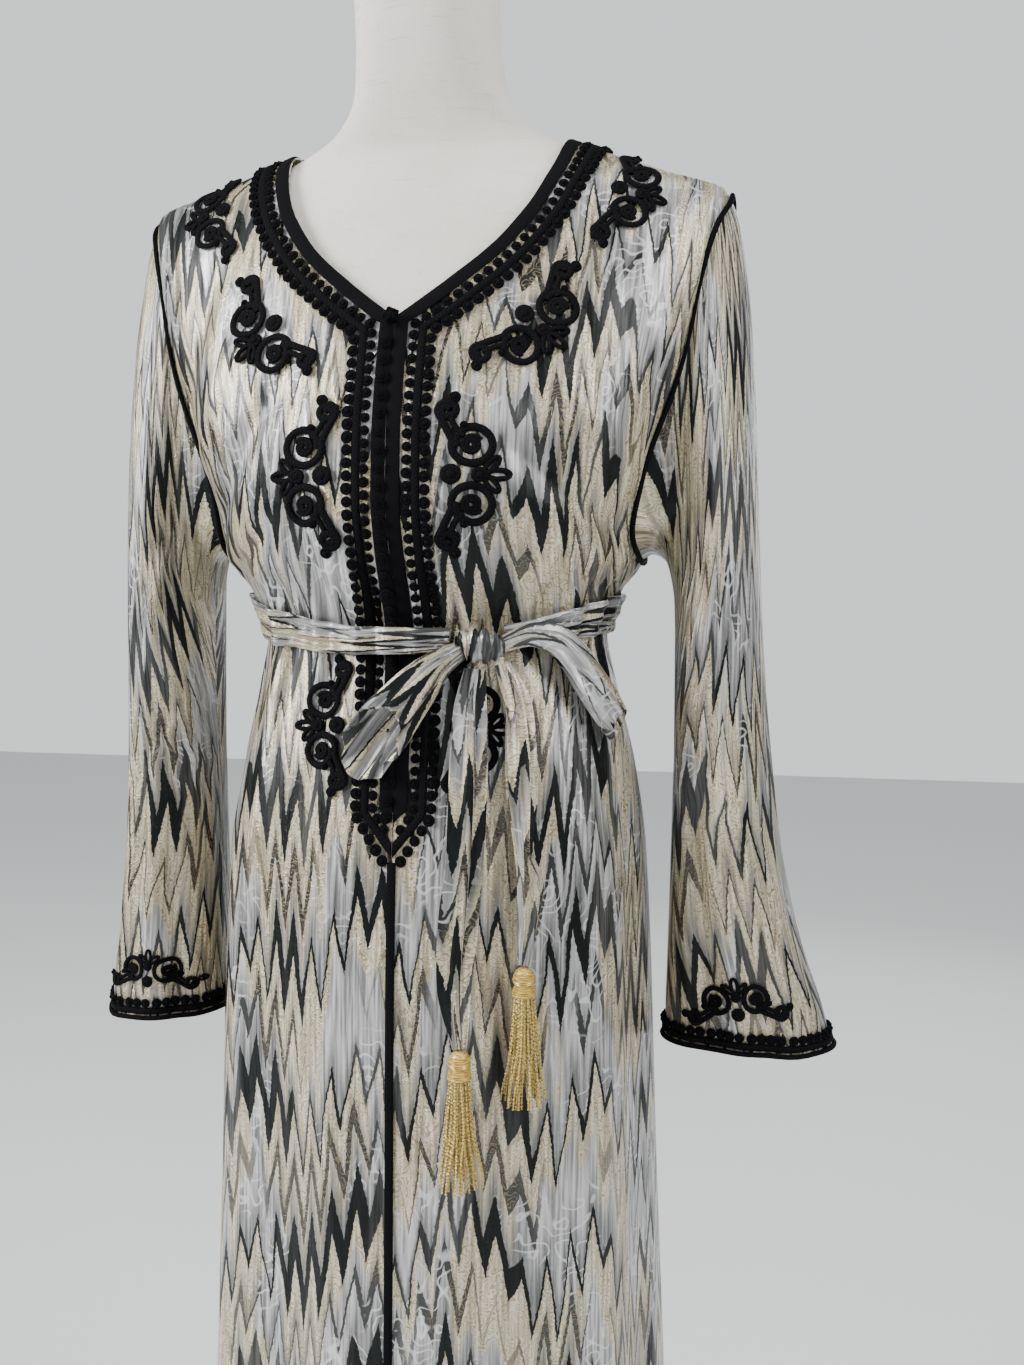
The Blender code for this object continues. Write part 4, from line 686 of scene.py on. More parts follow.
def printed_satin(name, shift, tooth=TOOTH_WIDTH):
    """The printed jacquard for one panel: its print starts at its own place across the cloth."""
    made, n, shader = new_finish(name)
    cloth = n.cloth_place()
    flame = n.group(print_group, Cloth=cloth, Shift=shift, Tooth=tooth)
    ripple = n.noise(n.scaled(cloth, (60.0, 9.0, 1.0)), 1.0, 3.0)
    threads = n.noise(n.scaled(cloth, (3400.0, 900.0, 1.0)), 1.0, 1.0)
    weave_height = n.plus(threads, n.times(flame["Height"], 1.6))
    n.fill(shader, {"Base Color": flame["Colour"],
                    "Metallic": n.plus(n.times(flame["Gilt"], 0.30), n.times(flame["Shine"], 0.24)),
                    "Specular IOR Level": n.plus(0.14, n.times(flame["Shine"], 0.80)),
                    "Roughness": n.plus(0.17, n.times(ripple, 0.20)),
                    "Normal": n.bump(weave_height, 0.00022, 0.55, n.bump(ripple, 0.0080, 0.60))})
    return made


HANDS = ((RIGHT, "right"), (LEFT, "left"))
fronts, backs = ({hand: cloth_grid(hand, face) for hand, _ in HANDS} for face in (FRONT, BACK))
FIRST_LEANING = len(BODY_ROWS)
V_ROW = FIRST_LEANING + int(np.argmin(np.abs(front_leans - V_LEAN)))
NAPE_ROW = FIRST_LEANING + int(np.argmin(np.abs(back_leans - NAPE_LEAN)))
surface_points, surface_quads = [], []
for hand, word in HANDS:
    grid, cloth = fronts[hand]
    grid[: V_ROW + 1, 0, 0] = 0.0
    normals = panel_normals(grid)
    normals[:V_ROW, 0] = unit(normals[:V_ROW, 0] * (0, 1, 1))
    parted = grid.copy()
    parted[: V_ROW + 1, 0, 0] = hand * FRONT_GAP
    satin = printed_satin(f"printed_satin_front_{word}", 0.4 + 0.031 * hand)
    panel = cloth_wall(f"front_panel_{word}", parted, cloth, normals, satin)
    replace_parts(panel, f"front_{word}")
    for points in (fronts[hand][0], backs[hand][0]):
        surface_quads += grid_quads(*points.shape[:2], len(surface_points)).tolist()
        surface_points += points.reshape(-1, 3).tolist()
BODY_TREE = BVHTree.FromPolygons(surface_points, surface_quads)

# The back is one piece, so its two halves share the points of the centre line below the neckline
halves, half_cloths = ((backs[LEFT][k][:, ::-1], backs[RIGHT][k]) for k in (0, 1))
rows, columns = halves[0].shape[:2]
points = np.vstack([half.reshape(-1, 3) for half in halves])
normals = np.vstack([panel_normals(half).reshape(-1, 3) for half in halves])
seam = np.arange(NAPE_ROW + 1) * columns
points[seam + columns - 1, 0] = 0.0
merged = np.arange(len(points))
merged[seam + rows * columns] = seam + columns - 1
quads = merged[np.vstack([grid_quads(rows, columns, start)[:, ::-1] for start in (0, rows * columns)])]
uvs = np.vstack([quad_uvs(cloth)[:, ::-1] for cloth in half_cloths]) + (BACK_PRINT_SHIFT, 0)
used, quads = np.unique(quads, return_inverse=True)
points, normals, quads = points[used], normals[used], quads.reshape(-1, 4)
back_panel = closed_wall("back_panel", points, normals, quads, uvs, points[:, [0, 2]],
                         printed_satin("printed_satin_back", 0.0))
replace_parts(back_panel, "back")


# Sleeves. Each is one length of the same printed satin, set into the armhole, straight to the elbow and
# widening into an open cuff, with soft folds that fall from the armhole and creases at the elbow.

SLEEVE = (
    ("step", "outer_x", "outer_z", "inner_x", "inner_z", "half_depth"),
    (0, 0.232, 1.361, 0.167, 1.080, 0.054),
    (1, 0.245, 1.330, 0.181, 1.090, 0.057),
    (2, 0.252, 1.270, 0.190, 1.080, 0.060),
    (3, 0.256, 1.195, 0.194, 1.052, 0.062),
    (4, 0.259, 1.120, 0.195, 1.018, 0.062),
    (5, 0.262, 1.050, 0.195, 0.980, 0.060),
    (6, 0.266, 0.985, 0.195, 0.935, 0.057),
    (7, 0.272, 0.922, 0.194, 0.888, 0.054),
    (8, 0.279, 0.865, 0.193, 0.843, 0.052),
    (9, 0.288, 0.815, 0.192, 0.802, 0.049),
    (10, 0.300, 0.770, 0.191, 0.763, 0.045),
    (11, 0.314, 0.730, 0.190, 0.727, 0.041),
    (12, 0.322, 0.698, 0.190, 0.699, 0.039),
)
CAP_BLEND = (0.0, 0.55, 0.9, 1.0)
FLARE_START = 0.262
FLARE_SEEN = {RIGHT: 1.0, LEFT: 0.45}
SLEEVE_FOLDS = (("angle", "width", "top", "cuff"),
                (62, 17, -5, -4), (128, 16, 4, 6), (235, 17, -5, -6), (300, 16, 4, 5))
# Creases of the sleeve: angle round from its inner line and step down it, at both ends, then the width in
# degrees and the depth in millimetres (below zero for a ridge).
SLEEVE_CREASES = {
    RIGHT: ((20, 1.2, 95, 3.4, 9, 3.0), (30, 2.4, 80, 5.2, 9, -2.4), (150, 1.0, 120, 3.6, 10, 2.4),
            (70, 3.2, 110, 6.4, 8, 2.2),
            (100, 4.4, 60, 7.6, 9, 2.6), (45, 5.6, 130, 7.8, 8, 2.2), (120, 6.6, 90, 10.5, 9, -2.6),
            (60, 7.6, 75, 11.6, 10, 3.0),
            (100, 8.4, 105, 11.8, 9, 2.6), (140, 8.2, 150, 11.6, 9, -2.4), (230, 1.6, 270, 4.4, 10, 2.8),
            (300, 3.0, 250, 6.0, 10, 2.6),
            (240, 5.4, 300, 8.4, 9, 2.8), (260, 8.0, 250, 11.6, 10, 2.8), (310, 7.0, 300, 11.0, 9, -2.4)),
    LEFT: ((25, 1.4, 90, 3.8, 10, 3.2), (150, 1.2, 110, 4.2, 9, 2.6), (60, 3.0, 100, 6.0, 9, -2.4),
           (110, 4.0, 70, 7.0, 9, 2.6),
           (50, 5.4, 120, 7.4, 8, 2.6), (95, 6.4, 110, 10.4, 9, 2.4), (70, 8.0, 60, 11.7, 10, 3.0),
           (125, 8.6, 130, 11.6, 9, -2.4),
           (235, 1.8, 280, 4.6, 10, 2.8), (295, 3.4, 245, 6.4, 10, 2.4), (250, 5.8, 305, 8.6, 9, 2.8),
           (270, 8.2, 255, 11.5, 10, 2.6)),
}
SLEEVE_ROWS, CAP_STEPS = 112, 3.2


def sleeve_grid(hand, ring):
    """(outer points, angles) of a sleeve: its first ring is the armhole, the others slant, then level out."""
    half = len(ring) // 2
    front, behind = distance_along(ring[: half + 1]), distance_along(np.vstack([ring[half:], ring[:1]]))
    turn = np.concatenate([front / front[-1] * 180, 180 + behind[1:-1] / behind[-1] * 180])
    angle = np.radians(turn)
    last = len(SLEEVE) - 2
    rows = []
    for step in np.linspace(0, last, SLEEVE_ROWS):
        outer_x, outer_z, inner_x, inner_z, depth = (float(read(SLEEVE, key, step)) for key in SLEEVE[0][1:])
        seen = min(outer_x, FLARE_START) + max(outer_x - FLARE_START, 0) * FLARE_SEEN[hand]
        depth += (outer_x - seen) * 0.5
        outer, inner = np.array([seen, 0, outer_z]), np.array([inner_x, 0, inner_z])
        middle, reach = (outer + inner) / 2, (outer - inner) / 2
        fold = np.zeros(len(turn))
        for at, width, top, cuff in SLEEVE_FOLDS[1:]:
            away = (turn - at + 180) % 360 - 180
            fold += (top + (cuff - top) * step / last) * 0.001 * np.exp(-((away / width) ** 2))
        fold *= np.clip(step, 0, 1)
        section = middle - np.cos(angle)[:, None] * reach
        section[:, 1] -= np.sin(angle) * (depth + fold)
        # Creases press the section in towards its middle line
        sunk = np.zeros(len(turn))
        for a0, s0, a1, s1, width, deep in SLEEVE_CREASES[hand]:
            share = (step - s0) / (s1 - s0)
            fade = math.exp(-((max(abs(share - 0.5) - 0.3, 0) / 0.2) ** 2))
            off = (turn - a0 - (a1 - a0) * np.clip(share, 0, 1) + 180) % 360 - 180
            sunk += deep * 0.001 * CREASE_STRENGTH * fade * np.exp(-((off / width) ** 2))
        sunk *= np.clip(step / 1.5, 0, 1)
        section -= unit(section - middle) * sunk[:, None]
        blend = float(np.interp(step, range(len(CAP_BLEND)), CAP_BLEND))
        rows.append(ring * (hand, 1, 1) * (1 - blend) + section * blend)
    return np.array(rows) * (hand, 1, 1), turn


sleeves, sleeve_normals, sleeve_turns, SLEEVE_TREES = {}, {}, {}, {}
for hand, word in HANDS:
    front_edge, back_edge = (source[hand][0][FIRST_LEANING:, -1] for source in (fronts, backs))
    ring = np.vstack([front_edge, back_edge[-2:0:-1]])
    grid, turn = sleeve_grid(hand, ring)
    normals = grid_normals(grid, wrap=True)
    normals *= np.sign(np.sum(normals * (grid - grid.mean(axis=1, keepdims=True)), axis=2).mean())
    normals[0] = unit(outward(ring) + normals[0])
    closed = np.concatenate([grid, grid[:, :1]], axis=1)
    u, down = distance_along(closed, 1), distance_along(closed, 0)
    u -= u[:, len(ring) // 2][:, None]
    v = down[-1] - down
    # The cap is cut on the same grain as the tube below it, so its print hangs straight
    closed *= (hand, 1, 1)
    tube = int(math.ceil(CAP_STEPS / (len(SLEEVE) - 2) * (SLEEVE_ROWS - 1)))
    turns = np.arctan2(closed[..., 1], closed[..., 0] - closed[tube, :, 0].mean())
    turns[:, 0], turns[:, -1] = -math.pi, math.pi
    level_turns = np.maximum.accumulate(turns[tube])
    for i in range(tube):
        u[i], below = (np.interp(turns[i], level_turns, a) for a in (u[tube], v[tube] - closed[tube, :, 2]))
        v[i] = below + closed[i, :, 2]
    sleeves[hand], sleeve_normals[hand], sleeve_turns[hand] = grid, normals, turn
    satin = printed_satin(f"printed_satin_sleeve_{word}", 0.13 + 0.21 * hand)
    made = cloth_wall(f"printed_sleeve_{word}", grid, np.stack([u, v], axis=-1), normals, satin, wrap=True)
    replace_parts(made, f"sleeve_{word}")
    quads = grid_quads(*grid.shape[:2], wrap=True)
    SLEEVE_TREES[hand] = BVHTree.FromPolygons(grid.reshape(-1, 3).tolist(), quads.tolist())


# Neckline and placket trim. Black silk: a flat woven band along each edge, a plaited braid beside it, and
# a row of knotted picots on both sides of the braid. Knot buttons run down the placket.

TRIM_HALF_WIDTH = 0.0325
BAND = (0.0003, 0.0107, 0.0016)
BRAID = (0.0190, 0.0254, 0.0026)
PICOT_LINE, PICOT_PITCH, PICOT_WIDTH = 0.0290, 0.0093, 0.0086
INNER_PICOT_LINE, INNER_PICOT_WIDTH = 0.0158, 0.0076
BAND_TIP, PICOT_TIP, INNER_PICOT_TIP = 0.0006, 0.0046, 0.0036
V_CORNER = 0.41
TIP_HEIGHT, POINT_HEIGHT, POINT_SLOPE = 0.850, 0.892, 1.75
TRIM_LIFT = 0.0004
BUTTON_X, BUTTON_PITCH, BUTTON_WIDTH = -0.0050, 0.0128, 0.0092
NECK_BUTTON = 0.0068
FRONT_BRAID_WIDTH, FRONT_BRAID_HEIGHT, FRONT_BRAID_TUCK = 0.0066, 0.0022, 0.012
# Black silk tones from the plait's grooves to its crests: painted shade in the grooves
SILK_GROOVE_SHADE_TO_CREST, SILK_SLOT = ((0.0008, 0.0008, 0.0011, 1), (0.0045, 0.0045, 0.0055, 1)), "black_silk_braid"

cord_group, w, given, out = new_group(
    "plaited_cord",
    [("Vector", "Vector", None), ("Pitch", "Float", 0.0026), ("Width", "Float", 0.0026)],
    [("Height", "Float"), ("Fibre", "Float")],
)
axes = w.split(given["Vector"])
along, across = w.math("DIVIDE", axes["X"], given["Pitch"]), w.math("DIVIDE", axes["Y"], given["Width"])
plies = [w.ribs(w.times(w.math(kind, along, across), math.pi)) for kind in ("ADD", "SUBTRACT")]
w.fill(out, {"Height": w.math("MAXIMUM", *plies), "Fibre": w.noise(given["Vector"], 5200.0, 2.0)})


def black_silk(name, pitch, width, strength=0.9):
    """Plaited black silk, its plait this long and wide in metres, its grooves coloured darker than its crests:
    painted shade.
    """
    made, n, shader = new_finish(name, Specular_IOR_Level=0.04)
    cord = n.group(cord_group, Vector=n.cloth_place(), Pitch=pitch, Width=width)
    relief = n.plus(cord["Height"], n.times(cord["Fibre"], 0.3))
    # The colour follows the plait's height, so its grooves carry painted shade
    n.fill(shader, {"Base Color": n.blend(cord["Height"], *SILK_GROOVE_SHADE_TO_CREST),
                    "Roughness": n.less(0.78, n.times(cord["Fibre"], 0.22)),
                    "Normal": n.bump(relief, 0.0006, strength)})
    return made


BRAID_SILK = black_silk("black_plaited_silk", 0.0034, 0.0034)
BAND_SILK = black_silk("black_ribbed_band", 0.0016, 0.0032, 0.6)
KNOT_SILK = black_silk("black_knotted_silk", 0.0022, 0.0020)


def laid(tree, point, away, lift, reach=0.06):
    """The point's place on the cloth, seen along a direction, and lifted off it."""
    point, away = Vector(point), Vector(away).normalized()
    hit = tree.ray_cast(point + away * reach, -away, 2 * reach)[0]
    return np.array((hit or point) + away * lift)


def on_body(line):
    return np.array([laid(BODY_TREE, p, outward(p), 0.0) for p in line])


def length_of(points):
    return float(distance_along(points)[-1])


def swept(name, runs, finish, to_cloth=lambda uvs: uvs):
    """One piece from several runs of rings, each (rings, closes on itself), with its uv in metres."""
    points, faces, uvs = [], [], []
    for rings, closed in runs:
        rings = np.asarray(rings, float)
        count, sides = rings.shape[:2]
        made, spots = tube_faces(count, sides, len(points), True, closed)
        middles = rings.mean(axis=1)
        along = distance_along(np.vstack([middles, middles[:1]]) if closed else middles)
        along = np.append(along, along[-1])
        girth = np.linalg.norm(np.roll(rings, -1, axis=1) - rings, axis=2).sum(axis=1).mean()
        points.extend(rings.reshape(-1, 3))
        faces += made
        uvs += [(along[i], share * girth) for i, share in spots]
    return add_piece(name, points, faces, finish, to_cloth(np.array(uvs)))


def silk_piece(name, runs, finish, node):
    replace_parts(swept(name, runs, finish), node)


def cord_rings(points, normals, width, height, lift=0.0, sides=8, closed=False):
    """Rings of a cord with an oval section, lying on the cloth under a line of points."""
    points, normals = np.asarray(points, float), unit(normals)
    ahead = np.roll(points, -1, axis=0) - np.roll(points, 1, axis=0) if closed else np.gradient(points, axis=0)
    side = unit(np.cross(normals, unit(ahead)))
    middle = points + normals * (lift + height / 2)
    turns = np.radians(np.arange(sides) * 360 / sides - 90)
    wide, high = side * width / 2, normals * height / 2
    return np.stack([middle + wide * math.cos(a) + high * math.sin(a) for a in turns], axis=1)


def edge_line(grid, distance, rows):
    """The point of each of these panel rows at a distance from the panel's centre or neckline edge."""
    edge = resampled(grid[:, 0], 2400)
    line = []
    for row in rows:
        dense = resampled(grid[row], 240)
        near = edge[np.linalg.norm(edge - dense[0], axis=1) < 2 * TRIM_HALF_WIDTH]
        gaps = np.linalg.norm(dense[:, None] - near[None], axis=2).min(axis=1)
        past = int(np.argmax(gaps > distance))
        share = (distance - gaps[past - 1]) / (gaps[past] - gaps[past - 1])
        line.append(dense[past - 1] * (1 - share) + dense[past] * share)
    return np.array(line)


def front_line(distance, hand, tip_x=BAND_TIP, counts=(14, 150, 120)):
    """A line at this distance from the front edge: up from the placket's tip, then along the neckline."""
    grid = fronts[hand][0]
    point_height = POINT_HEIGHT + (TRIM_HALF_WIDTH - distance) * 0.25
    corner_height = grid[V_ROW, 0, 2] - distance * V_CORNER
    upright = [i for i in range(V_ROW) if point_height + 0.01 < grid[i, 0, 2] < corner_height]
    straight, around = (edge_line(grid, distance, rows) for rows in (upright, range(V_ROW, len(grid))))
    turns = [(tip_x, TIP_HEIGHT + (TRIM_HALF_WIDTH - distance) * POINT_SLOPE), (distance, point_height),
             (distance, corner_height)]
    tip, corner, neck = (np.array([x * hand, -float(read(BODY, "front", z)), z]) for x, z in turns)
    legs = ([tip, corner], [corner, *straight, neck], [neck, *around])
    parts = [resampled(leg, count) for leg, count in zip(legs, counts)]
    return on_body(np.vstack([parts[0][:-1], parts[1][:-1], parts[2]]))


def back_line(distance):
    """A line at this distance from the neckline behind, from one shoulder seam round to the other."""
    neck = np.array([leaning_row(lean, BACK)[0] for lean in np.linspace(NAPE_LEAN, SHOULDER_LEAN - 0.15, 40)])
    ahead = unit(np.gradient(np.vstack([neck[1:2] * (-1, 1, 1), neck]), axis=0))[1:]
    aside = unit(np.cross(ahead, outward(neck)))
    aside *= np.where(aside[:, 2:] > 0, -1, 1)
    line = neck + aside * distance
    return on_body(resampled(np.vstack([line[:0:-1] * (-1, 1, 1), line]), 96))


# A flat braid's section: (share of its width, share of its height), its under side first
UNDERSIDE = ((0.0, 0.15), (0.5, 0.0), (1.0, 0.15))
FLAT_TOP = ((1.0, 0.55), (0.78, 1.0), (0.5, 0.88), (0.22, 1.0), (0.0, 0.55))
DOMED_TOP = ((1.0, 0.55), (0.78, 1.0), (0.5, 1.0), (0.22, 1.0), (0.0, 0.55))
CUFF_TOP = ((1.0, 0.55), (0.78, 1.0), (0.22, 1.0), (0.0, 0.55))


def ribbon_rings(inner, outer, height, top):
    """Rings of a flat braid between two lines on the cloth, thinner at its edges."""
    ways = outward((inner + outer) / 2)
    rings = np.stack([inner * (1 - s) + outer * s + ways * (TRIM_LIFT + height * level)
                      for s, level in UNDERSIDE + top], axis=1)
    turn = np.cross(rings[:, 2] - rings[:, 0], rings[:, 5] - rings[:, 1])
    return rings if np.sum(turn * np.gradient(rings.mean(axis=1), axis=0)) > 0 else rings[:, ::-1]


# The sewn-on knots: a mesh of points carries where each sits, which way it faces and its size
knots_tree, g, given, out = new_group(
    "sewn_knots",
    [("Geometry", "Geometry", None), ("Knot", "Object", None), ("Thread", "Material", None),
     ("Size Jitter", "Float", 0.07), ("Turn Jitter", "Float", 0.5), ("Seed", "Int", 3)],
    [("Geometry", "Geometry")], "GeometryNodeTree",
)


def named(label, kind):
    return g.add("GeometryNodeInputNamedAttribute", {"Name": label}, data_type=kind).outputs["Attribute"]


def shaken(key, seed_shift):
    node = g.add("FunctionNodeRandomValue", data_type="FLOAT")
    low, high = [s for s in node.inputs if s.enabled][:2]
    g.put(low, g.times(given[key], -1.0))
    g.put(high, given[key])
    g.put(next(s for s in node.inputs if s.name == "Seed"), g.plus(given["Seed"], seed_shift))
    return next(s for s in node.outputs if s.enabled)


out_way, ahead_way = (named(label, "FLOAT_VECTOR") for label in ("out", "ahead"))
faced = g.add("FunctionNodeAlignRotationToVector", {"Vector": out_way}, axis="Z").outputs[0]
steered = g.add("FunctionNodeAlignRotationToVector", {"Rotation": faced, "Vector": ahead_way},
                axis="X", pivot_axis="Z").outputs[0]
spin = g.add("ShaderNodeCombineXYZ", {"Z": shaken("Turn Jitter", 0)}).outputs[0]
turned = g.add("FunctionNodeRotateRotation", {"Rotation": steered, "Rotate By": spin},
               rotation_space="LOCAL").outputs[0]
placed = g.add("GeometryNodeInstanceOnPoints", {
    "Points": given["Geometry"], "Rotation": turned,
    "Instance": g.add("GeometryNodeObjectInfo", {"Object": given["Knot"]}).outputs["Geometry"],
    "Scale": g.times(named("size", "FLOAT"), g.plus(1.0, shaken("Size Jitter", 1)))}).outputs[0]
realized = g.add("GeometryNodeRealizeInstances", {"Geometry": placed}).outputs[0]
g.put(out.inputs["Geometry"],
      g.add("GeometryNodeSetMaterial", {"Geometry": realized, "Material": given["Thread"]}).outputs[0])


def sewn(name, points, outs, aheads, sizes, knot, finish, size_jitter=0.07, turn_jitter=0.5, seed=3):
    """A piece made of one knot repeated at these points."""
    mesh = bpy.data.meshes.new(name)
    mesh.from_pydata([tuple(p) for p in points], [], [])
    each = len(points)
    for label, kind, key, values, shape in (("out", "FLOAT_VECTOR", "vector", outs, (each, 3)),
                                            ("ahead", "FLOAT_VECTOR", "vector", aheads, (each, 3)),
                                            ("size", "FLOAT", "value", sizes, each)):
        values = np.broadcast_to(values, shape).ravel().astype(np.float32)
        mesh.attributes.new(label, kind, "POINT").data.foreach_set(key, values)
    holder = bpy.data.objects.new(name + "_points", mesh)
    bpy.context.scene.collection.objects.link(holder)
    live = holder.modifiers.new("sewn", "NODES")
    live.node_group = knots_tree
    settings = {"Knot": knot, "Thread": finish, "Size Jitter": size_jitter, "Turn Jitter": turn_jitter,
                "Seed": seed}
    for socket in knots_tree.interface.items_tree:
        if socket.in_out == "INPUT" and socket.name in settings:
            live[socket.identifier] = settings[socket.name]
    graph = bpy.context.evaluated_depsgraph_get()
    graph.update()
    baked = bpy.data.meshes.new_from_object(holder.evaluated_get(graph))
    bpy.data.objects.remove(holder)
    baked.name = name
    return as_piece(name, baked, 60)


def stamp(name, points, faces, uvs):
    """A hidden mesh for sewn() to repeat."""
    made = bpy.data.objects.new(name, new_mesh(name, points, faces, uvs))
    bpy.context.scene.collection.objects.link(made)
    made.hide_render = True
    return made


def knot_shape(name, rings, ball, ball_height):
    """A knot of coiled cord, one across: rings of (radius, cord radius, height) and a ball in the middle."""
    points, faces, uvs = [], [], []
    for radius, cord, height in rings:
        made, spots = tube_faces(12, 5, len(points), False, True)
        for a in np.radians(np.arange(12) * 30):
            for b in np.radians(np.arange(5) * -72):
                reach = radius + cord * math.cos(b)
                points.append((reach * math.cos(a), reach * math.sin(a), height + cord * math.sin(b)))
        faces += made
        uvs += [(i * 0.0016, share * 0.006) for i, share in spots]
    bm = bmesh.new()
    bmesh.ops.create_icosphere(bm, subdivisions=1, radius=ball)
    start = len(points)
    points += [tuple(np.array(v.co) * (1, 1, 0.8) + (0, 0, ball_height)) for v in bm.verts]
    for face in bm.faces:
        faces.append(tuple(start + v.index for v in face.verts))
        uvs += [(v.co.x * 0.008, v.co.y * 0.008) for v in face.verts]
    bm.free()
    return stamp(name, points, faces, uvs)


picot_shape = knot_shape("picot_shape", ((0.34, 0.17, 0.17),), 0.27, 0.30)
button_shape = knot_shape("button_shape", ((0.36, 0.16, 0.15), (0.17, 0.14, 0.30)), 0.15, 0.40)


def picot_row(name, line, width, seed, node=None):
    """A row of picots along a line on the cloth at an even pitch, the first half a pitch from its start."""
    count = max(2, round(length_of(line) / PICOT_PITCH))
    points = resampled(line, 2 * count + 1)
    aheads = unit(np.gradient(points, axis=0))[1::2]
    points = points[1::2]
    outs = outward(points)
    points = points + outs * TRIM_LIFT
    made = sewn(name, points, outs, aheads, width, picot_shape, KNOT_SILK, seed=seed)
    if node:
        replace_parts(made, node)


RIBBONS = (("band", BAND, BAND_SILK, FLAT_TOP), ("braid", BRAID, BRAID_SILK, DOMED_TOP))
for hand, word in HANDS:
    for label, (inner, outer, height), finish, top in RIBBONS:
        rings = ribbon_rings(front_line(inner, hand), front_line(outer, hand), height, top)
        silk_piece(f"silk_{label}_{word}", [(rings, False)], finish, f"placket_{label}_{word}")
    picot_row(f"silk_picots_{word}", front_line(PICOT_LINE, hand, PICOT_TIP), PICOT_WIDTH, 5 + hand,
              f"placket_picots_{word}")
    picot_row(f"silk_inner_picots_{word}", front_line(INNER_PICOT_LINE, hand, INNER_PICOT_TIP),
              INNER_PICOT_WIDTH, 5 + hand)

v_height = float(fronts[RIGHT][0][V_ROW, 0, 2])
button_heights = np.arange(v_height - 0.020, TIP_HEIGHT + 0.036, -BUTTON_PITCH)
spots = np.array([(BUTTON_X, -float(read(BODY, "front", z)), z) for z in button_heights])
outs = outward(spots)
spots = np.array([laid(BODY_TREE, p, o, BAND[2] + TRIM_LIFT) for p, o in zip(spots, outs)])
buttons = sewn("placket_knot_buttons", spots, outs, (0.0, 0.0, 1.0), BUTTON_WIDTH, button_shape, KNOT_SILK,
               0.05, 0.9, 11)
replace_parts(buttons, "knot_buttons")

# The thin braid that closes the front from the placket's point down to the hem
braid_heights = np.arange(HEM_HEIGHT + 0.002, TIP_HEIGHT + FRONT_BRAID_TUCK, 0.006)
middle_line = np.array([(0.0, -float(read(BODY, "front", z)), z) for z in braid_heights])
edges = [on_body(middle_line + (side * FRONT_BRAID_WIDTH / 2, 0, 0)) for side in (-1, 1)]
rings = ribbon_rings(*edges, FRONT_BRAID_HEIGHT, DOMED_TOP)
silk_piece("front_closing_braid", [(rings, False)], BRAID_SILK, "front_braid")

# The knob that closes the neckline: one cord knotted three times round a ball
place = np.array([0.0, -float(read(BODY, "front", v_height)), v_height - 0.004])
away = outward(place)
middle = laid(BODY_TREE, place, away, BAND[2] + NECK_BUTTON + 0.0007)
sideways = unit(np.cross(away, (0, 0, 1)))
above = np.cross(sideways, away)
knob, knob_out = [], []
for turn in np.linspace(0, 6 * math.pi, 132, endpoint=False):
    rise = 0.78 * math.sin(turn * 5 / 3)
    ray = math.sqrt(1 - rise * rise) * (math.cos(turn) * sideways + math.sin(turn) * above) + rise * away
    knob.append(middle + ray * (NECK_BUTTON - 0.0018 + 0.0006 * math.cos(turn * 5)))
    knob_out.append(ray)
rim = [math.cos(a) * sideways + math.sin(a) * above for a in np.linspace(0, 2 * math.pi, 16, endpoint=False)]
core = [[middle + NECK_BUTTON * 0.72 * (math.cos(lat) * way + math.sin(lat) * away) for way in rim]
        for lat in np.radians((-75, -50, -25, 0, 25, 50, 75))]
if np.dot(np.cross(sideways, above), away) < 0:
    core = [ring[::-1] for ring in core]
knob_rings = cord_rings(knob, knob_out, 0.0028, 0.0024, -0.0012, 6, True)
silk_piece("neck_knob", [(knob_rings, True), (core, False)], KNOT_SILK, "neck_button")

for label, (inner, outer, height), finish, top in RIBBONS:
    rings = ribbon_rings(back_line(inner), back_line(outer), height, top)
    silk_piece(f"back_neck_silk_{label}", [(rings, False)], finish, f"back_neck_{label}")
picot_row("back_neck_silk_picots", back_line(PICOT_LINE), PICOT_WIDTH, 9, "back_neck_picots")
picot_row("back_neck_silk_inner_picots", back_line(INNER_PICOT_LINE), INNER_PICOT_WIDTH, 9)


# Armhole piping and cuffs. A round black cord is sewn over each armhole seam. The cuff has a cord on its
# edge, a braid above it and a row of tall picots.

PIPING = 0.0021
CUFF_CORD, CUFF_BRAID, CUFF_POINTS = 0.0021, (0.0044, 0.0098, 0.0024), 220
CUFF_PICOT_RISE, CUFF_PICOT_WIDTH, CUFF_PICOT_PITCH = 0.0138, 0.0082, 0.0080


def cuff_line(hand, rise):
    """(points, normals) of the closed line round a cuff at this distance above its hem."""
    grid, normals = sleeves[hand][::-1], sleeve_normals[hand][::-1]
    climb, both = distance_along(grid, 0), np.concatenate([grid, normals], axis=2)
    line = [[np.interp(rise, climb[:, j], both[:, j, k]) for k in range(6)] for j in range(grid.shape[1])]
    line = np.array([*line, line[0]])
    share = distance_along(line[:, :3])
    at = np.linspace(0, share[-1], CUFF_POINTS, endpoint=False)
    line = np.stack([np.interp(at, share, line[:, k]) for k in range(6)], axis=1)
    return line[:, :3], unit(line[:, 3:])


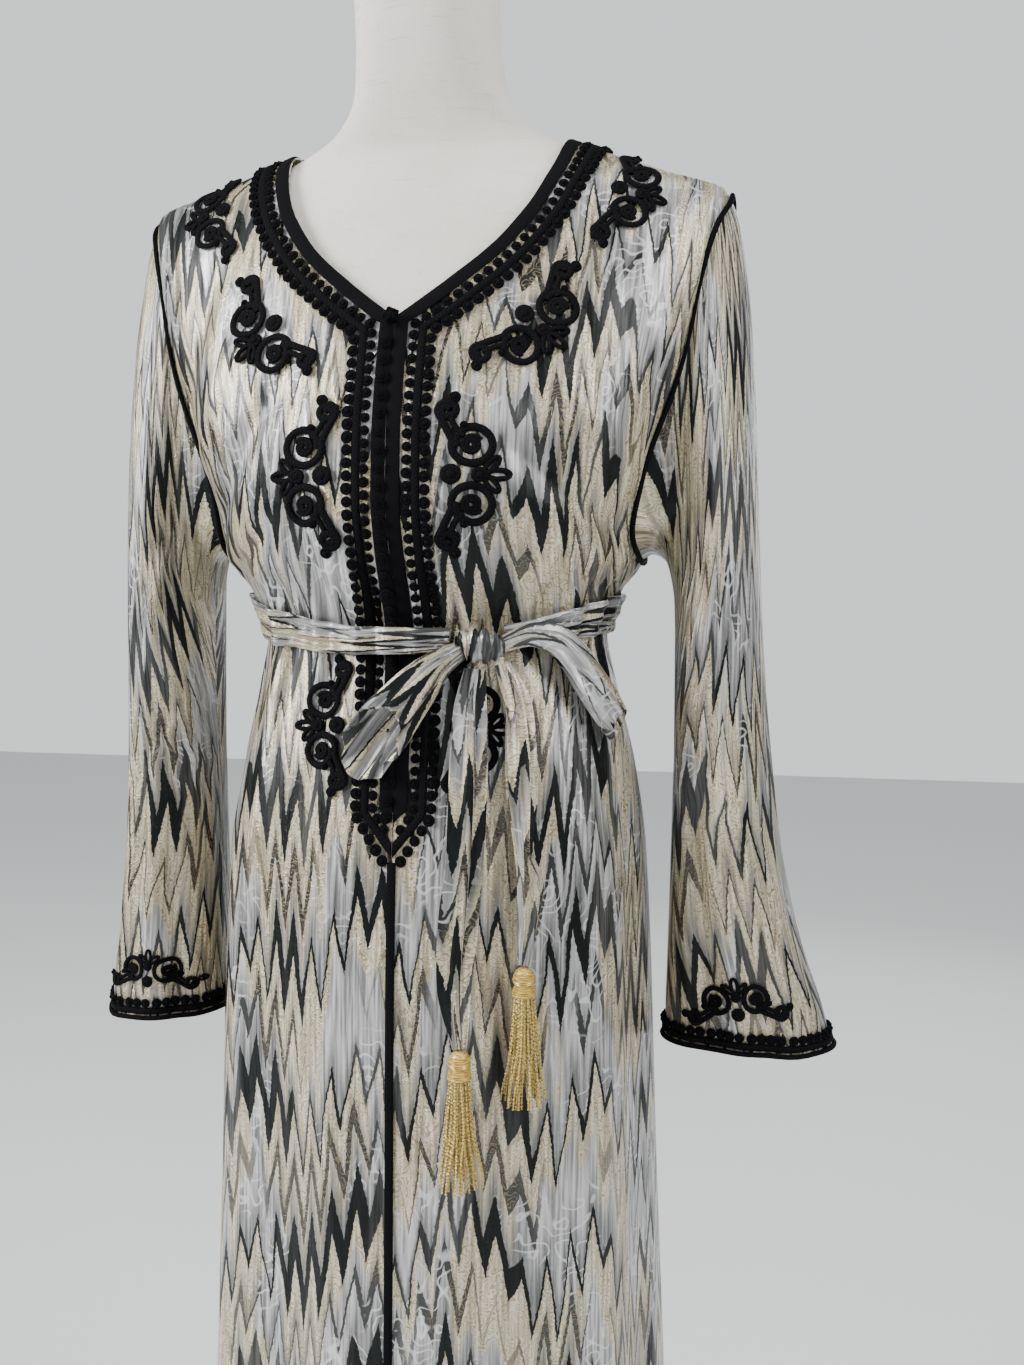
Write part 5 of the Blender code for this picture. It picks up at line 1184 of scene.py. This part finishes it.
for hand, word in HANDS:
    ring, outs = sleeves[hand][0], sleeve_normals[hand][0]
    line, outs = np.vstack([ring, ring[:1]]), np.vstack([outs, outs[:1]])
    points, outs = resampled(line, 181)[:-1], unit(resampled(np.hstack([line, outs]), 181)[:-1, 3:])
    for _ in range(4):
        points = (np.roll(points, 1, axis=0) + 2 * points + np.roll(points, -1, axis=0)) / 4
    smoothed = sum(np.roll(outs, k, axis=0) for k in (-2, -1, 0, 1, 2))
    rings = cord_rings(points, smoothed, 2 * PIPING, 2 * PIPING, 0.0004, 8, True)
    silk_piece(f"armhole_cord_{word}", [(rings, True)], BRAID_SILK, f"armhole_piping_{word}")

    feet, outs = cuff_line(hand, 0.0)
    ups = unit(cuff_line(hand, 0.006)[0] - feet)
    cord = cord_rings(feet + ups * CUFF_CORD * 0.6, outs, 2 * CUFF_CORD, 2 * CUFF_CORD, 0.0002, 8, True)
    low, high = (cuff_line(hand, rise)[0] for rise in CUFF_BRAID[:2])
    band = np.stack([low * (1 - s) + high * s + outs * (TRIM_LIFT + CUFF_BRAID[2] * level)
                     for s, level in UNDERSIDE + CUFF_TOP], axis=1)
    if np.sum(np.cross(band[:, 2] - band[:, 0], outs) * (np.roll(feet, -1, axis=0) - feet)) < 0:
        band = band[:, ::-1]
    silk_piece(f"cuff_silk_braid_{word}", [(cord, True), (band, True)], BRAID_SILK, f"cuff_braid_{word}")
    feet, outs = cuff_line(hand, CUFF_PICOT_RISE)
    number = round(length_of(feet) / CUFF_PICOT_PITCH)
    pick = np.round(np.linspace(0, len(feet), number, endpoint=False)).astype(int)
    sewn(f"cuff_picots_{word}", feet[pick] + outs[pick] * TRIM_LIFT, outs[pick], ups[pick], CUFF_PICOT_WIDTH,
         picot_shape, KNOT_SILK, seed=21)


# Scroll motifs. Each is thick black silk cord, coiled flat and stitched down: on either side a large coil
# round a disc runs on into a small curl, with three open petals and a few balls between them.

COIL_AT, COIL_RADIUS, DISC_RADIUS = (0.0206, 0.0215), 0.0129, 0.0086
CURL_AT, CURL_RADIUS, CURL_TURN = (0.0450, 0.0055), 0.0062, 330.0
COIL_LEAVES, CURL_ENTERS = -66.0, -95.0
CORD_WIDTH, CORD_HEIGHT = 0.0058, 0.0032
MOTIF_BALLS = (("along", "out", "radius"),
               (0.0, 0.0083, 0.0074), (0.0545, 0.0100, 0.0044), (-0.0545, 0.0100, 0.0044),
               (0.0, 0.0262, 0.0056), (0.0345, 0.0165, 0.0030), (-0.0345, 0.0165, 0.0030))
MOTIF_PETALS = (("turn", "length", "width"), (0, 0.0185, 0.0100), (52, 0.0170, 0.0088), (-52, 0.0170, 0.0088))
PETAL_ROOT, PETAL_CORD = 0.0290, 0.0038
INNER_CORD = ((0.0270, 0.0165), (0.0300, 0.0130), (0.0345, 0.0100), (0.0400, 0.0080), (0.0440, 0.0072))
MOTIF_DEPTH = 1.12
MOTIFS = (
    ("name", "x", "z", "turn", "scale"),
    ("chest", 0.088, 1.262, -42, 0.95),
    ("bust", 0.0385, 1.142, 0, 1.0),
    ("waist", 0.0385, 0.958, 0, 0.92),
)
SHOULDER_MOTIF_X, SHOULDER_MOTIF_LEAN, SHOULDER_MOTIF_SCALE = 0.148, 78.0, 0.85
CUFF_MOTIF_SCALE, CUFF_MOTIF_RISE = {RIGHT: 0.72, LEFT: 0.64}, 0.0265
CUFF_AWAY = (0.15, -1.0, 0.0)
MOTIF_LIFT = 0.0005


def scroll_routes(mirror):
    """Flat routes of one side's cords: the S of coil and curl, then the disc inside the coil."""
    (cu, cv), (ku, kv) = COIL_AT, CURL_AT
    s = []
    for turn in np.arange(-392, 1, 12):
        a = math.radians(COIL_LEAVES + turn)
        radius = COIL_RADIUS * np.interp(turn, (-392, -300), (0.72, 1.0))
        s.append((cu + radius * math.cos(a), cv + radius * math.sin(a)))
    for turn in np.arange(0, CURL_TURN + 200, 20):
        a = math.radians(CURL_ENTERS + turn)
        radius = CURL_RADIUS * np.interp(turn, (0, 180, CURL_TURN + 200), (1.0, 0.94, 0.28))
        s.append((ku + radius * math.cos(a), kv + radius * math.sin(a)))
    disc = [(cu + r * math.cos(a), cv + r * math.sin(a)) for a, r in
            zip(np.radians(np.arange(0, 800, 20)), np.linspace(0.0012, DISC_RADIUS - 0.0018, 40))]
    return [(resampled([(u * mirror, v) for u, v in s], 78), CORD_WIDTH, CORD_HEIGHT),
            (np.array([(u * mirror, v) for u, v in disc]), 0.0038, 0.0028),
            (resampled([(u * mirror, v) for u, v in INNER_CORD], 12), CORD_WIDTH * 0.8, CORD_HEIGHT)]


def oval_route(along, out, half_width, half_length, turn):
    cos, sin = math.cos(math.radians(turn)), math.sin(math.radians(turn))
    a = np.linspace(0, 2 * math.pi, 20, endpoint=False)
    u, v = half_width * np.sin(a), half_length * np.cos(a)
    return np.stack([along + u * cos + v * sin, out - u * sin + v * cos], axis=1)


# Every cord of the flat motif as (route, width, height, whether it closes, its ball's radius)
MOTIF_RUNS = [(*run, False, 0.0) for mirror in (1, -1) for run in scroll_routes(mirror)]
MOTIF_RUNS += [(oval_route(u, v, r * 0.62, r * 0.62, 0), r * 0.72, CORD_HEIGHT * 1.15, True, r)
               for u, v, r in MOTIF_BALLS[1:]]
for turn, length, width in MOTIF_PETALS[1:]:
    a, reach = math.radians(turn), length / 2
    route = oval_route(reach * math.sin(a), PETAL_ROOT + reach * math.cos(a), (width - PETAL_CORD) / 2,
                       (length - PETAL_CORD) / 2, turn)
    MOTIF_RUNS.append((route, PETAL_CORD, CORD_HEIGHT, True, 0.0))


def add_motif(name, node, tree, foot, out, away, scale):
    """The flat motif laid on the cloth, its root at the foot and its petals to the out direction."""
    away = unit(away)
    out = unit(np.asarray(out) - away * np.dot(out, away))
    along = np.cross(away, out)
    runs = []
    for route, width, height, closes, ball in MOTIF_RUNS:
        points, normals = [], []
        for u, v in route * (scale, scale * MOTIF_DEPTH):
            near = laid(tree, np.asarray(foot) + along * u + out * v, away, 0.0)
            facing = np.array(tree.find_nearest(Vector(near))[1])
            points.append(near)
            normals.append(unit(facing * np.sign(np.dot(facing, away)) + away))
        rings = cord_rings(points, normals, width * scale, height * scale, MOTIF_LIFT, 8, closes)
        runs.append((rings, closes))
        if ball:
            middle, facing = np.mean(points, axis=0), unit(np.mean(normals, axis=0))
            rim = [ball * scale * (math.cos(a) * along + math.sin(a) * out)
                   for a in np.linspace(0, 2 * math.pi, 12, endpoint=False)]
            dome = [[middle + facing * (MOTIF_LIFT + height * scale * level) + share * way for way in rim]
                    for level, share in ((0.1, 0.55), (0.6, 0.62), (1.05, 0.45), (1.25, 0.16))]
            if np.dot(np.cross(along, out), facing) < 0:
                dome = [ring[::-1] for ring in dome]
            runs.append((dome, False))
    silk_piece(name, runs, BRAID_SILK, node)


def on_front(x, z, off):
    """A point off the front of the kaftan, and the outward direction there, level with the floor."""
    depth = float(read(BODY, "front", z))
    share = min(abs(x) / float(read(BODY, "half_width", z)), 0.97)
    square = float(read(BODY, "square", z))
    point = np.array([x, -depth * (1 - share**square) ** (1 / square), z])
    away = unit(outward(point) * (1, 1, 0))
    return point + away * off, away


for name, x, z, turn, scale in MOTIFS[1:]:
    for hand, word in HANDS:
        foot, angle = on_front(x * hand, z, 0.0)[0], math.radians(turn)
        out = (hand * math.cos(angle), 0, math.sin(angle))
        add_motif(f"scroll_{name}_{word}", f"motif_{name}_{word}", BODY_TREE, foot, out, outward(foot), scale)
for hand, word in HANDS:
    row = leaning_row(SHOULDER_MOTIF_LEAN, FRONT)
    foot = np.array([np.interp(SHOULDER_MOTIF_X, row[:, 0], row[:, k]) for k in range(3)]) * (hand, 1, 1)
    add_motif(f"scroll_shoulder_{word}", f"motif_shoulder_{word}", BODY_TREE, foot, (hand, 0, -0.25),
              outward(foot), SHOULDER_MOTIF_SCALE)
    # The cuff's scroll stands a quarter of the way round, on the sleeve's front
    front_column = int(np.argmin(np.abs(sleeve_turns[hand] - 90)))
    foot, above = sleeves[hand][-1, front_column], sleeves[hand][-19, front_column]
    up = unit(above - foot)
    add_motif(f"scroll_cuff_{word}", f"motif_cuff_{word}", SLEEVE_TREES[hand], foot + up * CUFF_MOTIF_RISE, up,
              np.array(CUFF_AWAY) * (hand, 1, 1), CUFF_MOTIF_SCALE[hand])


# Sash. A narrow length of the printed satin folded lengthwise, wound round the waist and tied in a bow off
# to one side, with both of its ends hanging.

BELT_HEIGHTS = (("angle", "height", "half_height"),
                (0, 1.022, 0.0100), (26, 1.024, 0.0085), (60, 1.034, 0.0125), (90, 1.039, 0.0155),
                (180, 1.036, 0.0160), (270, 1.039, 0.0165), (320, 1.028, 0.0135),
                (350, 1.022, 0.0105), (360, 1.022, 0.0100))
BELT_THICKNESS, BELT_GAP, OVER_TRIM = 0.0055, 0.0016, 0.0060
BELT_START, BELT_END, BELT_STATIONS = 31.3, 374.1, 230
SASH = ("x", "z", "off", "half_width", "half_depth")
KNOT = (SASH, (0.0440, 1.019, 0.0135, 0.0080, 0.0065), (0.0500, 1.020, 0.0155, 0.0125, 0.0095),
        (0.0585, 1.019, 0.0165, 0.0138, 0.0108), (0.0670, 1.018, 0.0150, 0.0122, 0.0092),
        (0.0725, 1.018, 0.0130, 0.0075, 0.0062))
LEFT_LOOP = (SASH, (0.0470, 1.0168, 0.0150, 0.0065, 0.0050), (0.0290, 1.0035, 0.0190, 0.0120, 0.0080),
             (0.0190, 0.9910, 0.0205, 0.0165, 0.0105), (0.0080, 0.9765, 0.0205, 0.0195, 0.0120),
             (-0.0030, 0.9620, 0.0200, 0.0225, 0.0150), (-0.0125, 0.9480, 0.0205, 0.0235, 0.0165))
RIGHT_LOOP = (SASH, (0.0700, 1.0180, 0.0125, 0.0060, 0.0045), (0.0900, 1.0260, 0.0150, 0.0095, 0.0065),
              (0.1020, 1.0230, 0.0175, 0.0120, 0.0080), (0.1130, 1.0090, 0.0190, 0.0140, 0.0090),
              (0.1230, 0.9910, 0.0190, 0.0155, 0.0095), (0.1330, 0.9730, 0.0185, 0.0160, 0.0095),
              (0.1420, 0.9570, 0.0180, 0.0150, 0.0090))
LEFT_TAIL = (SASH, (0.0560, 1.0013, 0.0100, 0.0085, 0.0040), (0.0540, 0.9670, 0.0105, 0.0135, 0.0038),
             (0.0545, 0.9160, 0.0096, 0.0150, 0.0035), (0.0535, 0.8650, 0.0075, 0.0150, 0.0035),
             (0.0500, 0.8200, 0.0075, 0.0160, 0.0034), (0.0480, 0.7750, 0.0105, 0.0140, 0.0034),
             (0.0530, 0.7300, 0.0195, 0.0060, 0.0034))
RIGHT_TAIL = (SASH, (0.0740, 1.0056, 0.0100, 0.0075, 0.0040), (0.0860, 0.9670, 0.0090, 0.0120, 0.0040),
              (0.0905, 0.9160, 0.0085, 0.0130, 0.0038), (0.0935, 0.8690, 0.0090, 0.0075, 0.0060),
              (0.0985, 0.8430, 0.0095, 0.0105, 0.0045), (0.0970, 0.8130, 0.0115, 0.0070, 0.0055),
              (0.0940, 0.7880, 0.0150, 0.0055, 0.0040))
sash_satin = printed_satin("printed_satin_sash", 0.55, 0.017)


def folded_strip(name, rings, node, to_cloth):
    """A sash piece: a strip of cloth folded lengthwise, swept along these rings."""
    made = swept(name, [(rings, False)], sash_satin, to_cloth)
    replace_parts(made, node)


def sash_piece(name, table, node, sides, folds, depth, phase, twist, open_end=0.0, slant=0.0, wraps=0.0,
               step=0.0022):
    """A length of folded sash along its own line, hollow at its far end where open_end is above zero."""
    rows = np.array(table[1:], float)
    stepped = (("step", *table[0]),) + tuple((i, *row) for i, row in enumerate(table[1:]))
    count = max(12, round(length_of(rows[:, :2]) / step))
    x, z, off, halves, thick = (read(stepped, key, np.linspace(0, len(rows) - 1, count)) for key in table[0])
    middles, aways = (np.array(a) for a in zip(*map(on_front, x, z, off)))
    ahead = unit(np.gradient(middles, axis=0))
    side = unit(np.cross(aways, ahead))
    front = unit(np.cross(ahead, side))
    turns = np.linspace(-math.pi / 2, 1.5 * math.pi, sides, endpoint=False)
    rings = []
    for k, share in enumerate(np.linspace(0, 1, count)):
        fold = 0.5 + 0.5 * np.cos(folds * turns + phase + twist * share + 0.8 * math.sin(3 * share + phase))
        ripple = 1 - depth * fold * min(1.0, 6 * share + 0.4)
        if wraps:
            ripple *= 1 - 0.26 * np.abs(np.sin(math.pi * wraps * share + 0.6 * np.cos(turns))) ** 3
        wide, deep = halves[k] * np.cos(turns) * ripple, thick[k] * np.sin(turns) * ripple
        lean = slant * share**3 * np.sin(turns)
        rings.append(middles[k] + side[k] * wide[:, None] + front[k] * deep[:, None] - ahead[k] * lean[:, None])
    if open_end:
        # The mouth turns over its lip and the inside of the loop runs back towards the knot
        last = len(rings) - 1
        for back in range(0, int(last * open_end), 2):
            centre = rings[last - back].mean(axis=0)
            inwards = rings[last - back] - centre
            reach = np.linalg.norm(inwards, axis=1, keepdims=True)
            rings.append(centre + inwards * np.maximum(reach - 0.0011, reach * 0.5) / reach)
        final = rings[-1]
        rings.append(final.mean(axis=0) + (final - final.mean(axis=0)) * 0.45)
    grain = slice(None, None, 1 if wraps else -1)
    folded_strip(name, np.array(rings), node,
                 lambda uvs: uvs[:, grain] * (-1, 1) + (phase * 0.05, phase * 0.11))


belt_rings = []
for turn in np.linspace(BELT_START, BELT_END, BELT_STATIONS) % 360:
    height, tall = (float(read(BELT_HEIGHTS, key, turn)) for key in ("height", "half_height"))
    over = BELT_GAP + OVER_TRIM * math.exp(-((min(turn, 360 - turn) / 21) ** 4))
    drift = 0.9 * math.sin(math.radians(turn) * 2.2) + 0.4 * math.sin(math.radians(turn) * 5.0)
    section = []
    for level in np.linspace(-1, 1, 15):
        fold = 0.5 + 0.5 * math.cos(math.pi * 2.6 * level + drift)
        off = (0.42 + 0.58 * math.sqrt(max(0.0, 1 - level**2))) * (0.62 + 0.38 * fold)
        section.append((level, 0.3 + 0.7 * off))
    ring = []
    for level, off in section + [(level, 0.0) for level in (0.8, 0.3, -0.3, -0.8)]:
        base = ring_row(height + level * tall, np.array([turn]))[0]
        ring.append(laid(BODY_TREE, base, unit(outward(base) * (1, 1, 0)), over + off * BELT_THICKNESS))
    belt_rings.append(ring)
belt_rings = np.array(belt_rings)
ahead = belt_rings[1].mean(axis=0) - belt_rings[0].mean(axis=0)
if np.dot(np.cross(belt_rings[0, 14] - belt_rings[0, 0], belt_rings[0, 7] - belt_rings[0, 16]), ahead) < 0:
    belt_rings = belt_rings[:, ::-1]
folded_strip("sash_round_waist", belt_rings, "belt",
             lambda uvs: uvs[:, ::-1])
sash_piece("sash_knot", KNOT, "belt_knot", 40, 3, 0.10, 0.4, 0.5, wraps=5.2, step=0.0006)
sash_piece("sash_loop_left", LEFT_LOOP, "bow_loop_left", 56, 8, 0.26, 1.1, 1.2, 0.80, 0.030)
sash_piece("sash_loop_right", RIGHT_LOOP, "bow_loop_right", 44, 5, 0.38, 2.3, 1.5, 0.5, 0.009)
sash_piece("sash_tail_left", LEFT_TAIL, "belt_tail_left", 36, 5, 0.52, 0.7, 2.2)
sash_piece("sash_tail_right", RIGHT_TAIL, "belt_tail_right", 36, 5, 0.52, 2.9, 3.4)


# Tassels. One hangs from each end of the sash: a head wound with gold thread over a skirt of twisted gold
# cords that hang apart.

TASSEL_HEAD_HEIGHT, TASSEL_HEAD_RADIUS, TASSEL_DROP = 0.021, 0.0080, 0.0012
TASSEL_LENGTH, TASSEL_SPLAY, TASSEL_CORDS = 0.085, 0.01045, 46
HEAD_SHAPE = ((0, 0.15, 0.45, 0.62, 0.74, 1.0), (0.35, 0.80, 1.0, 0.78, 0.95, 1.05))
HEAD_WINDS, WIND_RELIEF = 27, 0.10
CORD_RADIUS, CORD_SIDES, CORD_ROWS, CORD_TURNS, CORD_SWAY = 0.00115, 6, 34, 11, 3.0
GOLDEN_ANGLE = 2.39996


def gold_silk(name, shaded, lit, grain):
    """Gold silk in these two tones, its fibres this fine along and across the thread."""
    made, n, shader = new_finish(name, Metallic=0.42, Specular_IOR_Level=0.7)
    fibre = n.noise(n.scaled(n.cloth_place(), grain), 1.0, 2.0)
    n.fill(shader, {"Base Color": n.blend(n.step(fibre, 0.3, 0.7), shaded, lit),
                    "Roughness": n.plus(0.26, n.times(fibre, 0.22)), "Normal": n.bump(fibre, 0.0004, 0.5)})
    return made


gold = gold_silk("gold_thread", (0.62, 0.43, 0.10, 1), (0.98, 0.80, 0.33, 1), (900.0, 5200.0, 1.0))
# The head's gold is the cords' thread, its finer grain across following the winding, but its tones darker: painted
# shade, as the smooth head catches more light
shaded_winding_gold = gold_silk("gold_winding_shaded", (0.30, 0.185, 0.030, 1), (0.74, 0.53, 0.15, 1), (1700.0, 160.0, 1.0))

# One twisted cord of two plies, hanging down from its top
turns = np.linspace(0, 2 * math.pi, CORD_SIDES, endpoint=False)
reach = 0.55 + 0.45 * np.abs(np.cos(turns))
points = []
for down in np.linspace(0, 1, CORD_ROWS):
    spin = turns + down * CORD_TURNS * 2 * math.pi
    x, y = np.cos(spin) * reach + CORD_SWAY * math.sin(down * 5.0) * down, np.sin(spin) * reach
    points += [(a * CORD_RADIUS, b * CORD_RADIUS, -down * TASSEL_LENGTH) for a, b in zip(x, y)]
faces, spots = tube_faces(CORD_ROWS, CORD_SIDES)
spots = iter([(i * TASSEL_LENGTH / (CORD_ROWS - 1), share * 0.005) for i, share in spots])
uvs = [spot for face in faces for spot in [next(spots) for _ in face][::-1]]
twisted_shape = stamp("twisted_cord_shape", points, [face[::-1] for face in faces], uvs)

for word, tail, seed in (("left", LEFT_TAIL, 31), ("right", RIGHT_TAIL, 37)):
    top, away = on_front(*tail[-1][:3])
    top = top - (0, 0, TASSEL_DROP)
    side = unit(np.cross(away, (0, 0, 1)))
    head = []
    for k, down in enumerate(np.linspace(0, 1, HEAD_WINDS)):
        wide = TASSEL_HEAD_RADIUS * np.interp(down, *HEAD_SHAPE) * (1 + WIND_RELIEF * (k % 2))
        head.append([top + (side * math.cos(a) + away * math.sin(a)) * wide - (0, 0, down * TASSEL_HEAD_HEIGHT)
                     for a in np.linspace(0, 2 * math.pi, 24, endpoint=False)])
    if np.dot(np.cross(side, away), (0, 0, -1)) < 0:
        head = [ring[::-1] for ring in head]
    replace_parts(swept(f"tassel_head_{word}", [(head, False)], shaded_winding_gold), f"tassel_{word}")
    # The cords start close under the head and splay out evenly, flatter from front to back
    feet, outs, sizes = [], [], []
    for k in range(TASSEL_CORDS):
        a, radius = k * GOLDEN_ANGLE, TASSEL_HEAD_RADIUS * 0.92 * math.sqrt((k + 0.5) / TASSEL_CORDS)
        across, ahead = side * math.cos(a) * radius, away * math.sin(a) * radius
        feet.append(top + across + ahead - (0, 0, TASSEL_HEAD_HEIGHT - 0.0015))
        splay = (across + ahead * 0.25) / TASSEL_HEAD_RADIUS * TASSEL_SPLAY / TASSEL_LENGTH
        outs.append(unit(np.array([0, 0, 1.0]) - splay))
        sizes.append(0.93 + 0.07 * math.sin(k * 2.4))
    sewn(f"tassel_cords_{word}", feet, np.array(outs), side, np.array(sizes), twisted_shape, gold,
         0.0, 3.1, seed)
for shape in (picot_shape, button_shape, twisted_shape):
    bpy.data.objects.remove(shape)
